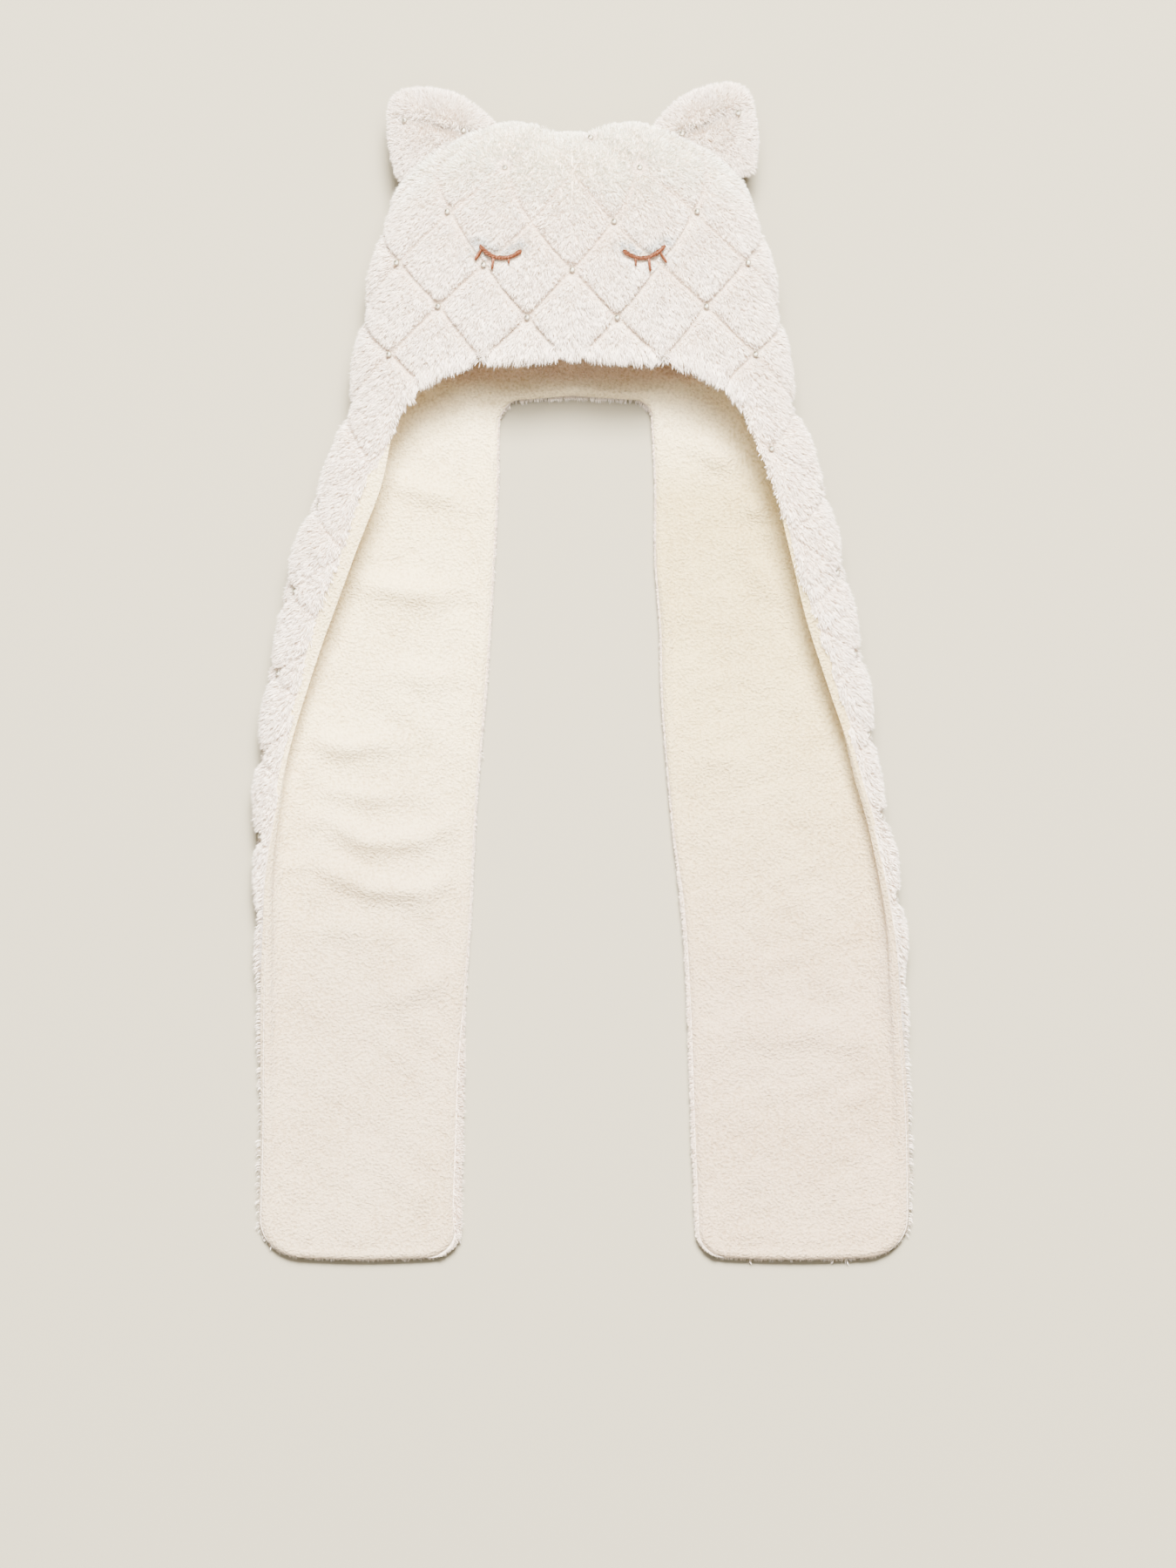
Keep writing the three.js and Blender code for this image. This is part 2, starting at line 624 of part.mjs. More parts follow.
function furPanel(side) {
  const high = 2 * RIM_BEVEL_HEIGHT;
  const puffs = layerSolid(side.quilting, () => -SEWN_LOFT, quiltLoft);
  const above = layerSolid(netTriangles(side.net), nap, () => high);
  const prism = patternPrism(patternShape(side, 0, TOP_ROW), true);
  return wrapSolid(side, puffs.intersect(above).intersect(prism));
}

// The lining stops where the crown is too tight for it to turn
function liningPanel(side) {
  const crownRow = side.net.rows[side.net.rows.length - 3];
  const triangles = netTriangles(side.net).filter(
    (triangle) => triangle.every((point) => point[1] <= crownRow),
  );
  const inside = (u, v) => nap(u, v) - GAP;
  const sheet = layerSolid(triangles, (u, v) => inside(u, v) - LINING_THICKNESS, inside);
  const prism = patternPrism(patternShape(side, LINING_INSET, crownRow), false);
  return wrapSolid(side, sheet.intersect(prism));
}

function makeSide(sign, table, tuck, earTilt) {
  const side = { sign, table, tuck, earTilt };
  side.net = makeNet(side);
  side.quilting = quiltTriangles(side);
  return side;
}

// Flat triangles of the hood alone, and the solid they make with everything inside the hood: what
// an ear has to stay clear of
function hoodCore(side) {
  const lowest = side.net.rows.find((row) => row > WIDEST_LEVEL);
  const triangles = netTriangles(side.net).filter((triangle) => triangle.every(
    (point) => point[1] >= lowest && point[0] <= BACK_MIDDLE,
  ));
  const loft = FUR_LOFT + EAR_CLEARANCE;
  const place = (point) => wrapped(side, point[0], point[1], loft);
  const middleY = hoodSection(lowest).y + CROWN_LIFT / 2;
  const middle = new THREE.Vector3(0, middleY, BACK_HEIGHT + CROWN_LIFT);
  const positions = [];
  const put = (...points) => points.forEach((point) => positions.push(point.x, point.y, point.z));
  const facets = triangles.map((triangle) => triangle.map(place));
  for (const [from, to] of openEdges(triangles)) facets.push([middle, place(to), place(from)]);
  for (const [a, b, c] of facets) {
    if (side.sign > 0) put(a, b, c);
    else put(b, a, c);
  }
  const geometry = new THREE.BufferGeometry();
  geometry.setAttribute('position', new THREE.Float32BufferAttribute(positions, 3));
  return toManifold(geometry);
}

// An ear is a padded shape stitched across at its crease and seated on the corner of the hood
function ear(side) {
  const points = EAR_OUTLINE.map(
    (row) => new THREE.Vector2(side.sign * row.out * EAR_WIDTH, row.up * EAR_HEIGHT),
  );
  const shape = new THREE.Shape();
  shape.moveTo(points[0].x, points[0].y);
  shape.splineThru(points.slice(1));
  shape.closePath();
  const flat = EAR_THICKNESS - 2 * EAR_ROUNDING;
  const pad = new THREE.ExtrudeGeometry(shape, {
    depth: flat,
    curveSegments: 1,
    bevelEnabled: true,
    bevelThickness: EAR_ROUNDING,
    bevelSize: EAR_ROUNDING,
    bevelOffset: -EAR_ROUNDING,
    bevelSegments: 2,
  });
  pad.translate(0, 0, -flat / 2);
  const groove = new THREE.CylinderGeometry(EAR_CREASE_DEPTH, EAR_CREASE_DEPTH, 2 * EAR_WIDTH, 6);
  groove.rotateZ(QUARTER_TURN);
  groove.translate(0, 0, EAR_THICKNESS / 2);
  const creased = toGeometry(toManifold(pad).subtract(toManifold(groove)));
  creased.applyMatrix4(earPlace(side));
  return toGeometry(toManifold(creased).subtract(hoodCore(side)));
}

function earPlace(side) {
  const level = BACK_HEIGHT + CROWN_LIFT;
  const place = new THREE.Matrix4().makeTranslation((side.sign * EAR_SPACING) / 2, EAR_LEVEL, level);
  return place.multiply(new THREE.Matrix4().makeRotationZ(side.sign * side.earTilt));
}

// A bead rests on the two lowest walls of the crease's six-sided groove
function earBeadSeat(side, out) {
  const bottom = EAR_THICKNESS / 2 - EAR_CREASE_DEPTH;
  const rise = (BEAD_DIAMETER / 2 + GAP) / Math.sin(Math.PI / 3);
  const place = new THREE.Vector3(side.sign * out * EAR_WIDTH, 0, bottom + rise);
  return place.applyMatrix4(earPlace(side));
}

// Corners of the quilting's facet at (u, v), in steps, with their weights
function quiltFacet(u, v) {
  const i = Math.floor(u / STEP);
  const j = Math.floor((v - FIRST_CROSSING) / STEP);
  const across = u / STEP - i;
  const along = (v - FIRST_CROSSING) / STEP - j;
  const both = across + along;
  if ((Math.floor(i / 2) + Math.floor(j / 2)) % 2 === 0) {
    return across >= along
      ? [[i, j, 1 - across], [i + 1, j, across - along], [i + 1, j + 1, along]]
      : [[i, j, 1 - along], [i + 1, j + 1, across], [i, j + 1, along - across]];
  }
  return both <= 1
    ? [[i, j, 1 - both], [i + 1, j, across], [i, j + 1, along]]
    : [[i + 1, j + 1, both - 1], [i + 1, j, 1 - along], [i, j + 1, 1 - across]];
}

// A thread's middle line runs its own radius clear of the quilting's facets
function threadPoint(side, u, v) {
  const place = new THREE.Vector3();
  for (const [i, j, weight] of quiltFacet(u, v)) {
    const cornerU = i * STEP;
    const cornerV = FIRST_CROSSING + j * STEP;
    const loft = quiltLoft(cornerU, cornerV) + THREAD_RADIUS + THREAD_CLEARANCE;
    place.addScaledVector(wrapped(side, cornerU, cornerV, loft), weight);
  }
  return place;
}

// A thread of round section laid on the fur through flat fabric points
function thread(side, flatPoints) {
  const path = flatPoints.map((point) => threadPoint(side, point.x, point.y));
  const curve = new THREE.CatmullRomCurve3(path);
  const section = new THREE.Shape();
  section.absarc(0, 0, THREAD_RADIUS, 0, 2 * Math.PI, false);
  const geometry = new THREE.ExtrudeGeometry(section, {
    curveSegments: 3,
    steps: flatPoints.length - 1,
    extrudePath: curve,
  });
  return toManifold(geometry);
}

// A closed eye: an arc that sags between its corners, with lashes along it
function eye(side) {
  const half = EYE_WIDTH / 2;
  const middle = EYE_SPACING / 2;
  const arcPoint = (along) => {
    const sag = EYE_DROP * (1 - along * along);
    return new THREE.Vector2(middle + along * half, EYE_LEVEL - sag);
  };
  const arc = Array.from({ length: EYE_POINTS }, (_, i) => arcPoint((2 * i) / (EYE_POINTS - 1) - 1));
  let solid = thread(side, arc);
  for (const lash of LASHES) {
    const root = arcPoint(lash.along);
    const length = lash.length * EYE_WIDTH;
    const tip = new THREE.Vector2(root.x + length * lash.lean, root.y - length);
    const lashPoints = [0, 0.33, 0.67, 1].map((share) => root.clone().lerp(tip, share));
    solid = solid.add(thread(side, lashPoints));
  }
  return toGeometry(solid);
}

// A bead sits in the hollow where sewn lines cross, as deep as the facets round it let it
function beadSeat(side, column, row) {
  const u = column * HALF_PITCH;
  const v = FIRST_CROSSING + row * HALF_PITCH;
  const isNear = (point) => Math.hypot(point[0] - u, point[1] - v) < SEAT_REACH;
  const facets = side.quilting.filter((triangle) => triangle.some(isNear)).map(
    (triangle) => new THREE.Triangle(...triangle.map(([a, b]) => wrapped(side, a, b, quiltLoft(a, b)))),
  );
  const nearest = new THREE.Vector3();
  const isClear = (place) => facets.every(
    (facet) => facet.closestPointToPoint(place, nearest).distanceTo(place) >= BEAD_DIAMETER / 2 + GAP,
  );
  let height = SEWN_LOFT;
  while (!isClear(wrapped(side, u, v, height))) height += SEAT_STEP;
  return wrapped(side, u, v, height);
}

// Column of the outermost crossing of a row that lies on a tail's fabric with a bead's width to
// spare
function outermostColumn(side, row) {
  const edge = Math.max(FACE_OPENING_WIDTH / 2, freeEdge(side, FIRST_CROSSING + row * HALF_PITCH));
  const parity = Math.abs(row) % 2;
  return parity + 2 * Math.ceil(((edge + BEAD_DIAMETER) / HALF_PITCH - parity) / 2);
}

function bead(place) {
  const geometry = new THREE.SphereGeometry(BEAD_DIAMETER / 2, 10, 4);
  geometry.translate(place.x, place.y, place.z);
  return geometry;
}

function named(name, geometry, material) {
  const mesh = new THREE.Mesh(geometry, material);
  mesh.name = name;
  return mesh;
}

const scarf = new THREE.Group();
const left = makeSide(-1, LEFT_TAIL, LEFT_NECK_TUCK, LEFT_EAR_TILT);
const right = makeSide(1, RIGHT_TAIL, RIGHT_NECK_TUCK, RIGHT_EAR_TILT);

for (const [name, side] of [['left', left], ['right', right]]) {
  scarf.add(named(`${name}_fur`, furPanel(side), FUR));
  scarf.add(named(`${name}_lining`, liningPanel(side), FLEECE));
  scarf.add(named(`${name}_ear`, ear(side), FUR));
  scarf.add(named(`${name}_eye`, eye(side), COPPER_THREAD));
}
const sideOf = (sign) => (sign < 0 ? left : right);
const hoodSeats = BEADED_CROSSINGS.flatMap(({ row, column, sides }) => sides.map(
  (sign) => beadSeat(sideOf(sign), column, row),
));
const tailSeats = BEADED_TAIL_ROWS.flatMap(({ row, sides }) => sides.map(
  (sign) => beadSeat(sideOf(sign), outermostColumn(sideOf(sign), row), row),
));
const earSeats = [left, right].flatMap((side) => EAR_BEADS.map((out) => earBeadSeat(side, out)));
[...hoodSeats, ...tailSeats, ...earSeats].forEach((seat, i) => {
  scarf.add(named(`bead_${String(i + 1).padStart(2, '0')}`, bead(seat), PEARL));
});

// The origin is under the middle of the whole scarf, on the floor
const box = new THREE.Box3().setFromObject(scarf);
const middle = box.getCenter(new THREE.Vector3());
scarf.position.set(-middle.x, -middle.y, -box.min.z);

export default scarf;
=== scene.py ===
# Animal hood scarf: the scarf lying on its back on a pale floor, with its quilted fur, fleece
# lining, pearls and stitched eyes. Sizes of the cloth are in millimetres, those of Blender's
# objects in metres. The cloth's own frame has its origin at the middle of the neck hem.

import math

import bpy
import numpy as np
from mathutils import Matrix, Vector
from mathutils.bvhtree import BVHTree
from mathutils.geometry import delaunay_2d_cdt
from mathutils.kdtree import KDTree


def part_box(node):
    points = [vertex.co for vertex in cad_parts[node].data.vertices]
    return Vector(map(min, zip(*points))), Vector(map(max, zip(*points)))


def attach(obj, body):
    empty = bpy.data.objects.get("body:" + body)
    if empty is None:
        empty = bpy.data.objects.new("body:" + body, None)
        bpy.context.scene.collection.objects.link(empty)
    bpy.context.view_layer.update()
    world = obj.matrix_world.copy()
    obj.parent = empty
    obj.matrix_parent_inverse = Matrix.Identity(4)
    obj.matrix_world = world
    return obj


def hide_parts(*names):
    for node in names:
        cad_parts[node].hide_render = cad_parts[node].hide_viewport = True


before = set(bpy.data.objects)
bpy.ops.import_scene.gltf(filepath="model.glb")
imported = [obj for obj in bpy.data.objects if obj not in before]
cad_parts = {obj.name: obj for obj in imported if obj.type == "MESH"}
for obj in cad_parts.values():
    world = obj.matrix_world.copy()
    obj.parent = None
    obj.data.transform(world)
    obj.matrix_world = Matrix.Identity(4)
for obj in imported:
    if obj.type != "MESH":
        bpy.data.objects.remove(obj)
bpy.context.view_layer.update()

MM = 0.001

# Hood
HOOD_WIDTH = 290
NECK_WIDTH = 320
CROWN_WIDTH = 134
HOOD_HEIGHT = 193
HOOD_DEPTH = 95
FOREHEAD_DEPTH = 77
FOREHEAD_HEIGHT = 33
HEM_LIFT = 3
FACE_OPENING_WIDTH = 244
CHEEK_DROP = 55
CROWN_REACH = 97
CROWN_LIFT = 32
SIDE_RADIUS = 30
CORNER_FULLNESS = 0.85
SHOULDER_TRIM = 0.11
CROWN_SLACK = 0.13
CROWN_CLOSING = 0.995
CHEEK_PULL = 8
CHEEK_LOW = -60
CHEEK_HIGH = 20

# Tails
TAIL_LENGTH = 617
OUTER_END_RADIUS = 34
INNER_END_RADIUS = 21
END_SAG = 1.5
NECK_CORNER_RADIUS = 11

# Sampling of the pattern, and clearances between the points of its mesh
ROW_REACH = 1.3
ROW_SAMPLES = 4000
FRONT_POINTS = 40
FRONT_END_ANGLE = 4
INNER_POINTS = 60
BOTTOM_POINTS = 30
NORMAL_REACH = 0.6
EDGE_SAMPLE = 0.7
RING_SAMPLE = 0.5
RING_SHARE = 0.9
EDGE_CLEARANCE = 0.55
RING_CLEARANCE = 0.5
SEAM_CLEARANCE = 0.6

# Layers
FUR_LOFT = 11
FLOOR_LOFT = 8
LINING_THICKNESS = 2.5
GAP = 0.3
SILHOUETTE_SHARE = 0.9
RIM_ROUNDING = 5
LINING_ROUNDING = 4
LINING_SET_BACK = 0.4
THINNEST_LINING = 0.3
FUR_EDGE = 2.5
STRIP_LOFT = 3
STRIP_MARGIN = 0.3
FLOOR_CLEARANCE = 0.15
DENSE_RIM = 14
FUR_RINGS = (1, 2.8, 5.5)
LINING_RINGS = (0.8, 2.2, 4.5)
HIDDEN_STEP = 9
LINING_STEP = 3.8
SEAM_BULGE = 3
SEAM_BULGE_WIDTH = 7

# Quilting
QUILT_PITCH = 65.6
TAIL_QUILT_PITCH = 58
FIRST_CROSSING = 25
NECK_TUCK_REACH = 46
TAIL_DRIFT = 20
DRIFT_START = 98
DRIFT_REACH = 197
VALLEY_SHARPNESS = 0.4
PUFF_LOFT = 6.8
VALLEY_LOFT = 2.2
TAIL_VALLEY_RISE = 1.3
CROWN_VALLEY_RISE = 3
CELLS_PER_DIAMOND = 15
LINE_SPACING = QUILT_PITCH / math.sqrt(2)
TAIL_FADE = (20, 50)
CROWN_FADE = (112, 50)

# Rolled edge and folds of the lining: height, distance from the edge and width of each ridge
EDGE_ROLL = (1.3, 3.5, 2.4)
EDGE_GROOVE = (0.7, 8, 2.2)
STRIP_ROLL = (1.5, -3.5, 3)
STRIP_GROOVE = (2, 1, 2)
WIDE_STRIP = 8
BULGE_START = 6
CROWN_BAND = 20
FOLD_SCALE = 1.9
FOLD_SHIFT = 0.8
FOLD_END = 0.3
FOLD_START = 22
FOLD_RUN_OUT = 20

# Unevenness of the cloth, and how much of it each piece takes
WAVES = 14
WAVE_LENGTHS = (14, 60)
WAVE_DIVISOR = 5
FUR_SWELLING = 0.7
STRIP_SWELLING = 0.3
LINING_SWELLING = 0.8
EAR_SWELLING = 0.6
SWELLING_START = 20
LINING_SWELLING_START = 15
SEAM_EVENNESS = 14

# Seeds of the random draws
FUR_SEED = 5
PEARL_SEED = 7
LINING_SEED = 11
TINT_SEED = 21
EAR_SEED = 31
EAR_TINT_SEED = 41
PILE_SEED = 100

# Ears and eyes
EAR_WIDTH = 73
EAR_HEIGHT = 62
EAR_THICKNESS = 20
EAR_SPACING = 182
EAR_LEVEL = 194
EAR_TILTS = {-1: math.radians(10), 1: math.radians(20)}
EYE_WIDTH = 32
EYE_DROP = 6.5
EYE_SPACING = 108
EYE_LEVEL = 103
EYE_HEIGHT = 4.2
EAR_STEP = 2.0
EAR_ROUNDING = 17
EAR_FOLD = (1.8, 8, 5)
CREASE_BEND = 1.5
CREASE_WIDTH = 2.8
CREASE_DEPTH = 9.5
BACK_CREASE_DEPTH = 2.0
HIDDEN_DEPTH = 3.5
BURIED_DEPTH = 1.5
ARC_FULLNESS = 2.2
EYE_TWIST = 15
STRAND_SPREAD = 0.75
STRAND_RADIUS = 0.9
LASH_RADIUS = 1.15
LASH_PROFILE = (0.6, 0.9, 1, 1.05, 1.1, 1.1, 1.05, 0.95, 0.55)

# Pearls: colours, and the start and reach of the rises to the nacre and to the drilled hole
# The foot's colour is painted shade and dark reflection; the hole's darkening is painted shade
NACRE = (0.74, 0.68, 0.54)
PEARL_FOOT_PAINTED_SHADE = (0.2, 0.17, 0.1)
FOOT_RISE = (0.6, 0.36)
HOLE_RISE = (0.86, 0.08)
HOLE_SHADE = 0.85

# Pile
PILE_LENGTH = 6.6
PILE_WIDTH = 0.27
HOOD_BLADES = 98000
TAIL_BLADES = 68000
EAR_BLADES = 24000
PILE_ROOT = 1.2
TUFT_BLADES = 11
FLOOR_SHARE = 0.1
PEARL_PARTING = 5.5
EYE_PARTING = 4.5
CREASE_PARTING = 3
EDGE_BLADES = 7000
TUFT_PULL = 0.8
BLADE_SPREAD = 0.2
TUFT_SPREAD = 0.11
FACING_SPREAD = 0.35
AWAY_LEAN = 1.5
BLADE_CLEARANCE = 0.2
EDGE_SPREAD = 0.6
EDGE_SHORTEST = 0.22
EDGE_LENGTHENING = 0.5
WIDE_INSET = 5
EAR_LEAN = 0.45
EAR_PILE_SHARE = 0.85
DOWNWARD = -0.75
PRESSED_SLOPE = -0.5
PRESSED_LENGTH = 0.5

# Lay of the pile by row and by distance from the edge and the quilting: rises are start and reach
HEM_ROW = -5
PILE_SPLIT = -10
HOOD_BLEND = (-45, 40)
FRINGE_BLEND = (4, 6)
CROWN_BLEND = (120, 60)
CREST_SLOPES = (0.25, 0.5)
CREST_ROWS = (100, 40)
CROWN_PLAINNESS = 0.75
COMBED = 0.6
CROWN_UNCOMBED = 0.45
FRINGE_COMBED = 0.3
SIDEWAYS = 0.1
TAIL_PARTING = 0.2
HOOD_PARTING = 0.3
PARTING_WIDTH = 4
TAIL_CUT = 0.38
HOOD_CUT = 0.36
CUT_WIDTH = 6.5
TRIMMED_SHARE = 0.8
TRIM_WIDTH = 14
FRINGE_LENGTHENING = 0.45
CREST_SHORTENING = 0.45

# Colours of the pile, and painted shades by how dark they are and how far they reach
PILE_TIP = (0.96, 0.84, 0.71)
PILE_BASE = (0.9, 0.77, 0.63)
LIGHTEST_PILE = 0.97
LIGHTEST_BLADE = 0.98
BLADE_SHADES = (0, 0.65, 0.65, 1)
BLADE_LIGHT = (0.94, 1.0)
TUFT_LIGHT = (0.9, 1.08)
TINT = (0.002, 0.008, 0.02)
# Painted light: how much lighter the pile is at the crown
CROWN_PAINTED_LIGHT = 0.1
CROWN_LIGHTENING = 0.8
# Powers by which the plush's painted shade darkens red, green and blue, so that it is warm
PAINTED_SHADE_WARMTH = (0.8, 1, 1.2)
SHELL_LINE_SHADE = 0.28
SHELL_LINE_WIDTH = 3.2
SHELL_PEARL_SHADE = (0.6, 3.5)
PILE_PEARL_SHADE = (0.62, 3.2)
PILE_CREASE_SHADE = (0.25, 2.5)
# Even darkening of the ears' plush; painted shade on the tails' edge pile, more at their ends
EAR_SHADE = 0.9
EDGE_SHADE = (0.93, 0.9, 0.86)
END_SHADE = 0.35
LINE_SHADE = (0.1, 0.13, 0.17)
LINE_SHADE_WIDTH = 2.8
LID_SHADE = (0.3, 0.2, 0.1)
LID_RISE = 3.5
LID_HEIGHT = 3.5
LID_WIDTH = 6

# Fleece's share of nap to blotches, and the colour sockets of Blender's Mix node
NAP_TO_BLOTCH = 3
MIX_FIRST_COLOUR, MIX_SECOND_COLOUR, MIX_RESULT_COLOUR = 6, 7, 2

# Camera
CAMERA_LENS = 320
CAMERA_HEIGHT = 10.03
FRAME_X = 11.25
FRAME_Y = -276.25

# Tails at shares of their length: outer and inner silhouette as shares of NECK_WIDTH, then the
# radius and lap of the curled side as shares of HOOD_DEPTH
TAIL_SHARES = (0, 0.042, 0.104, 0.185, 0.266, 0.347, 0.428, 0.498, 0.6, 0.7, 0.853, 1)
TAILS = {
    -1: [
        (0.5, 0.525, 0.566, 0.627, 0.658, 0.689, 0.709, 0.712, 0.716, 0.721, 0.723, 0.732),
        (0.162, 0.165, 0.167, 0.175, 0.184, 0.195, 0.209, 0.219, 0.228, 0.241, 0.247, 0.253),
        (0.295, 0.29, 0.275, 0.25, 0.21, 0.18, 0.165, 0.16, 0.17, 0.19, 0.21, 0.21),
        (0.98, 0.94, 0.8, 0.77, 0.6, 0.51, 0.44, 0.37, 0.26, 0.19, 0.11, 0.06),
    ],
    1: [
        (0.5, 0.523, 0.566, 0.603, 0.638, 0.669, 0.684, 0.713, 0.744, 0.758, 0.778, 0.781),
        (0.177, 0.181, 0.186, 0.186, 0.197, 0.201, 0.213, 0.225, 0.247, 0.259, 0.269, 0.281),
        (0.295, 0.29, 0.28, 0.255, 0.21, 0.18, 0.165, 0.16, 0.17, 0.19, 0.21, 0.21),
        (0.98, 0.95, 0.86, 0.78, 0.62, 0.5, 0.38, 0.35, 0.33, 0.25, 0.13, 0.06),
    ],
}
OUTER, INNER, RADIUS, LAP = range(4)
TUCKS = {-1: 17, 1: 3}

# Width of the strip of lining that rolls out over the free edge, by level below the neck hem
ROLLED_STRIP = {
    -1: [(0, 0), (35, 4), (60, 14), (90, 15), (115, 12), (145, 11), (180, 12), (205, 8), (245, 4),
         (330, 2), (620, 1)],
    1: [(0, 0), (60, 2), (115, 4), (150, 9), (200, 8), (245, 6), (280, 4), (340, 2), (620, 1)],
}
# How far the lining stops short of the fur at the inner edge
INNER_INSET = {
    -1: [(0, 1), (430, 1), (480, 4.5), (585, 6), (617, 1.2)],
    1: [(0, 0.8), (300, 0.8), (360, 2.2), (590, 2.4), (617, 1)],
}

# Painted light and shade of the fleece by level above the neck hem:
# lit at the hem, darker down the tails and on the right tail, darker and redder in the hood's shadow
FLEECE_PAINTED_LIGHT = {
    -1: [(-430, (0.74, 0.7, 0.74)), (-230, (1, 1, 0.96)), (-70, (1, 1, 0.93)), (-6, (1.1, 1.12, 1.12)),
         (7, (1.1, 1.12, 1.12)), (17, (0.86, 0.74, 0.75))],
    1: [(-430, (0.7, 0.64, 0.68)), (-230, (0.8, 0.77, 0.64)), (-70, (0.75, 0.72, 0.56)),
        (-6, (1.1, 1.12, 1.12)), (7, (1.1, 1.12, 1.12)), (17, (0.86, 0.74, 0.75))],
}

EAR_OUTLINE = [
    (0.33, -0.66), (0.45, -0.34), (0.5, -0.1), (0.53, 0.13), (0.48, 0.27), (0.3, 0.35),
    (0.04, 0.36), (-0.16, 0.3), (-0.36, 0.17), (-0.5, 0.02), (-0.42, -0.26), (-0.1, -0.55),
]

# Lashes: place along the arc, length as a share of EYE_WIDTH, lean and thickness
LASHES = {
    -1: [(-0.42, 0.14, -0.1, 0.5), (0.3, 0.3, 0.05, 0.8), (0.86, 0.27, 0.55, 1.2)],
    1: [(-0.45, 0.2, 0.05, 0.5), (0.2, 0.32, 0.05, 0.8), (0.72, 0.28, 0.55, 0.9)],
}

# Folds of the lining in the plan of the cloth's frame: points under the fold, its height and width
FOLDS = [
    ([(-136, -64), (-107, -73), (-79, -82)], 3.4, 9),
    ([(-161, -134), (-136, -142), (-104, -146), (-79, -144)], 4, 9),
    ([(-173, -120), (-136, -114)], 2, 8),
    ([(-129, -204), (-86, -207)], 2, 9),
    ([(-187, -252), (-161, -256), (-129, -252)], 4, 8),
    ([(-168, -287), (-145, -291), (-123, -289)], 3, 7),
    ([(-179, -307), (-164, -317), (-147, -324), (-109, -322), (-81, -309)], 4.4, 8),
    ([(-190, -339), (-168, -349), (-142, -358), (-109, -359), (-86, -350)], 4.4, 8),
    ([(-186, -386), (-142, -390)], 1.6, 9),
    ([(-136, -439), (-111, -431), (-84, -419)], 2.4, 10),
    ([(89, -36), (108, -54)], 3, 8),
    ([(-66, 28), (-42, 23), (-16, 12)], 2.6, 5),
    ([(52, 20), (70, 12), (88, 10)], 2.2, 6),
    ([(121, -73), (131, -89)], 3, 7),
    ([(121, -114), (142, -151)], 1.8, 9),
    ([(77, -264), (127, -273)], 1.4, 12),
    ([(89, -473), (152, -464), (221, -473)], 1.5, 14),
]

LEFT_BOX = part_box("left_fur")
RIGHT_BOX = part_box("right_fur")
ROW_X = (LEFT_BOX[1].x + RIGHT_BOX[0].x) / 2 / MM
ROW_Y = LEFT_BOX[0].y / MM + TAIL_LENGTH


def smooth(t):
    t = np.clip(t, 0, 1)
    return t * t * (3 - 2 * t)


def rise(x, start, reach):
    """Smooth rise from nought at the start to one at the end of the reach."""
    return smooth((x - start) / reach)


def bell(x, width):
    """Smooth bump: one at nought and about a third at its width."""
    return np.exp(-((x / width) ** 2))


def ridge(x, height, place, width):
    return height * bell(x - place, width)


def unit(vectors):
    return vectors / np.maximum(np.linalg.norm(vectors, axis=1, keepdims=True), 1e-9)


def averaged(values, count):
    """Running mean of an odd count of values."""
    return np.convolve(np.pad(values, count // 2, mode="edge"), np.ones(count) / count, mode="valid")


def kd_tree(points):
    """Tree of points in the plane or in space, numbered in their order."""
    tree = KDTree(len(points))
    for i, point in enumerate(points):
        tree.insert((*point, 0)[:3], i)
    tree.balance()
    return tree


def quarter_ellipse(a, b):
    return math.pi / 4 * (3 * (a + b) - math.sqrt((3 * a + b) * (a + 3 * b)))


BACK_HEIGHT = FLOOR_LOFT
WIDEST_LEVEL = HOOD_HEIGHT - FUR_LOFT - CROWN_REACH
WIDEST_ROOF = HOOD_DEPTH - FUR_LOFT - BACK_HEIGHT
FOREHEAD_ROOF = FOREHEAD_DEPTH - FUR_LOFT - BACK_HEIGHT
CROWN_ARC = quarter_ellipse(CROWN_REACH, WIDEST_ROOF - CROWN_LIFT)
TOP_ROW = WIDEST_LEVEL + CROWN_CLOSING * CROWN_ARC
SILHOUETTE_LOFT = FUR_LOFT * SILHOUETTE_SHARE
NECK_OUTER = NECK_WIDTH / 2 - SILHOUETTE_LOFT
WIDEST_OUTER = HOOD_WIDTH / 2 - SILHOUETTE_LOFT
CROWN_OUTER = CROWN_WIDTH / 2 - SILHOUETTE_LOFT
TAIL_ROW_SHARE = TAIL_QUILT_PITCH / QUILT_PITCH
NECK_RADIUS = TAILS[-1][RADIUS][0] * HOOD_DEPTH


def tail_value(side, column, share):
    """Smooth value of one column of a tail's table."""
    at, values = np.array(TAIL_SHARES), np.array(TAILS[side][column])
    share = np.clip(share, 0, 1)
    last = len(at) - 1
    i = np.clip(np.searchsorted(at, share, side="right") - 1, 0, last - 1)
    before, after = np.maximum(i - 1, 0), np.minimum(i + 2, last)
    width = at[i + 1] - at[i]
    t = (share - at[i]) / width
    slope_a = (values[i + 1] - values[before]) / (at[i + 1] - at[before]) * width
    slope_a = np.where(i == 0, 0, slope_a)
    slope_b = (values[after] - values[i]) / (at[after] - at[i]) * width
    t2, t3 = t * t, t * t * t
    return (
        (2 * t3 - 3 * t2 + 1) * values[i]
        + (t3 - 2 * t2 + t) * slope_a
        + (3 * t2 - 2 * t3) * values[i + 1]
        + (t3 - t2) * slope_b
    )


def tail_level(side, v):
    return TAIL_ROW_SHARE * v - TUCKS[side] * (1 - np.exp(np.minimum(v, 0) / NECK_TUCK_REACH))


def row_at(side, y):
    """Row of the tail's fabric at a level."""
    rows = np.linspace(-ROW_REACH * TAIL_LENGTH, 0, ROW_SAMPLES)
    return np.interp(y, tail_level(side, rows), rows)


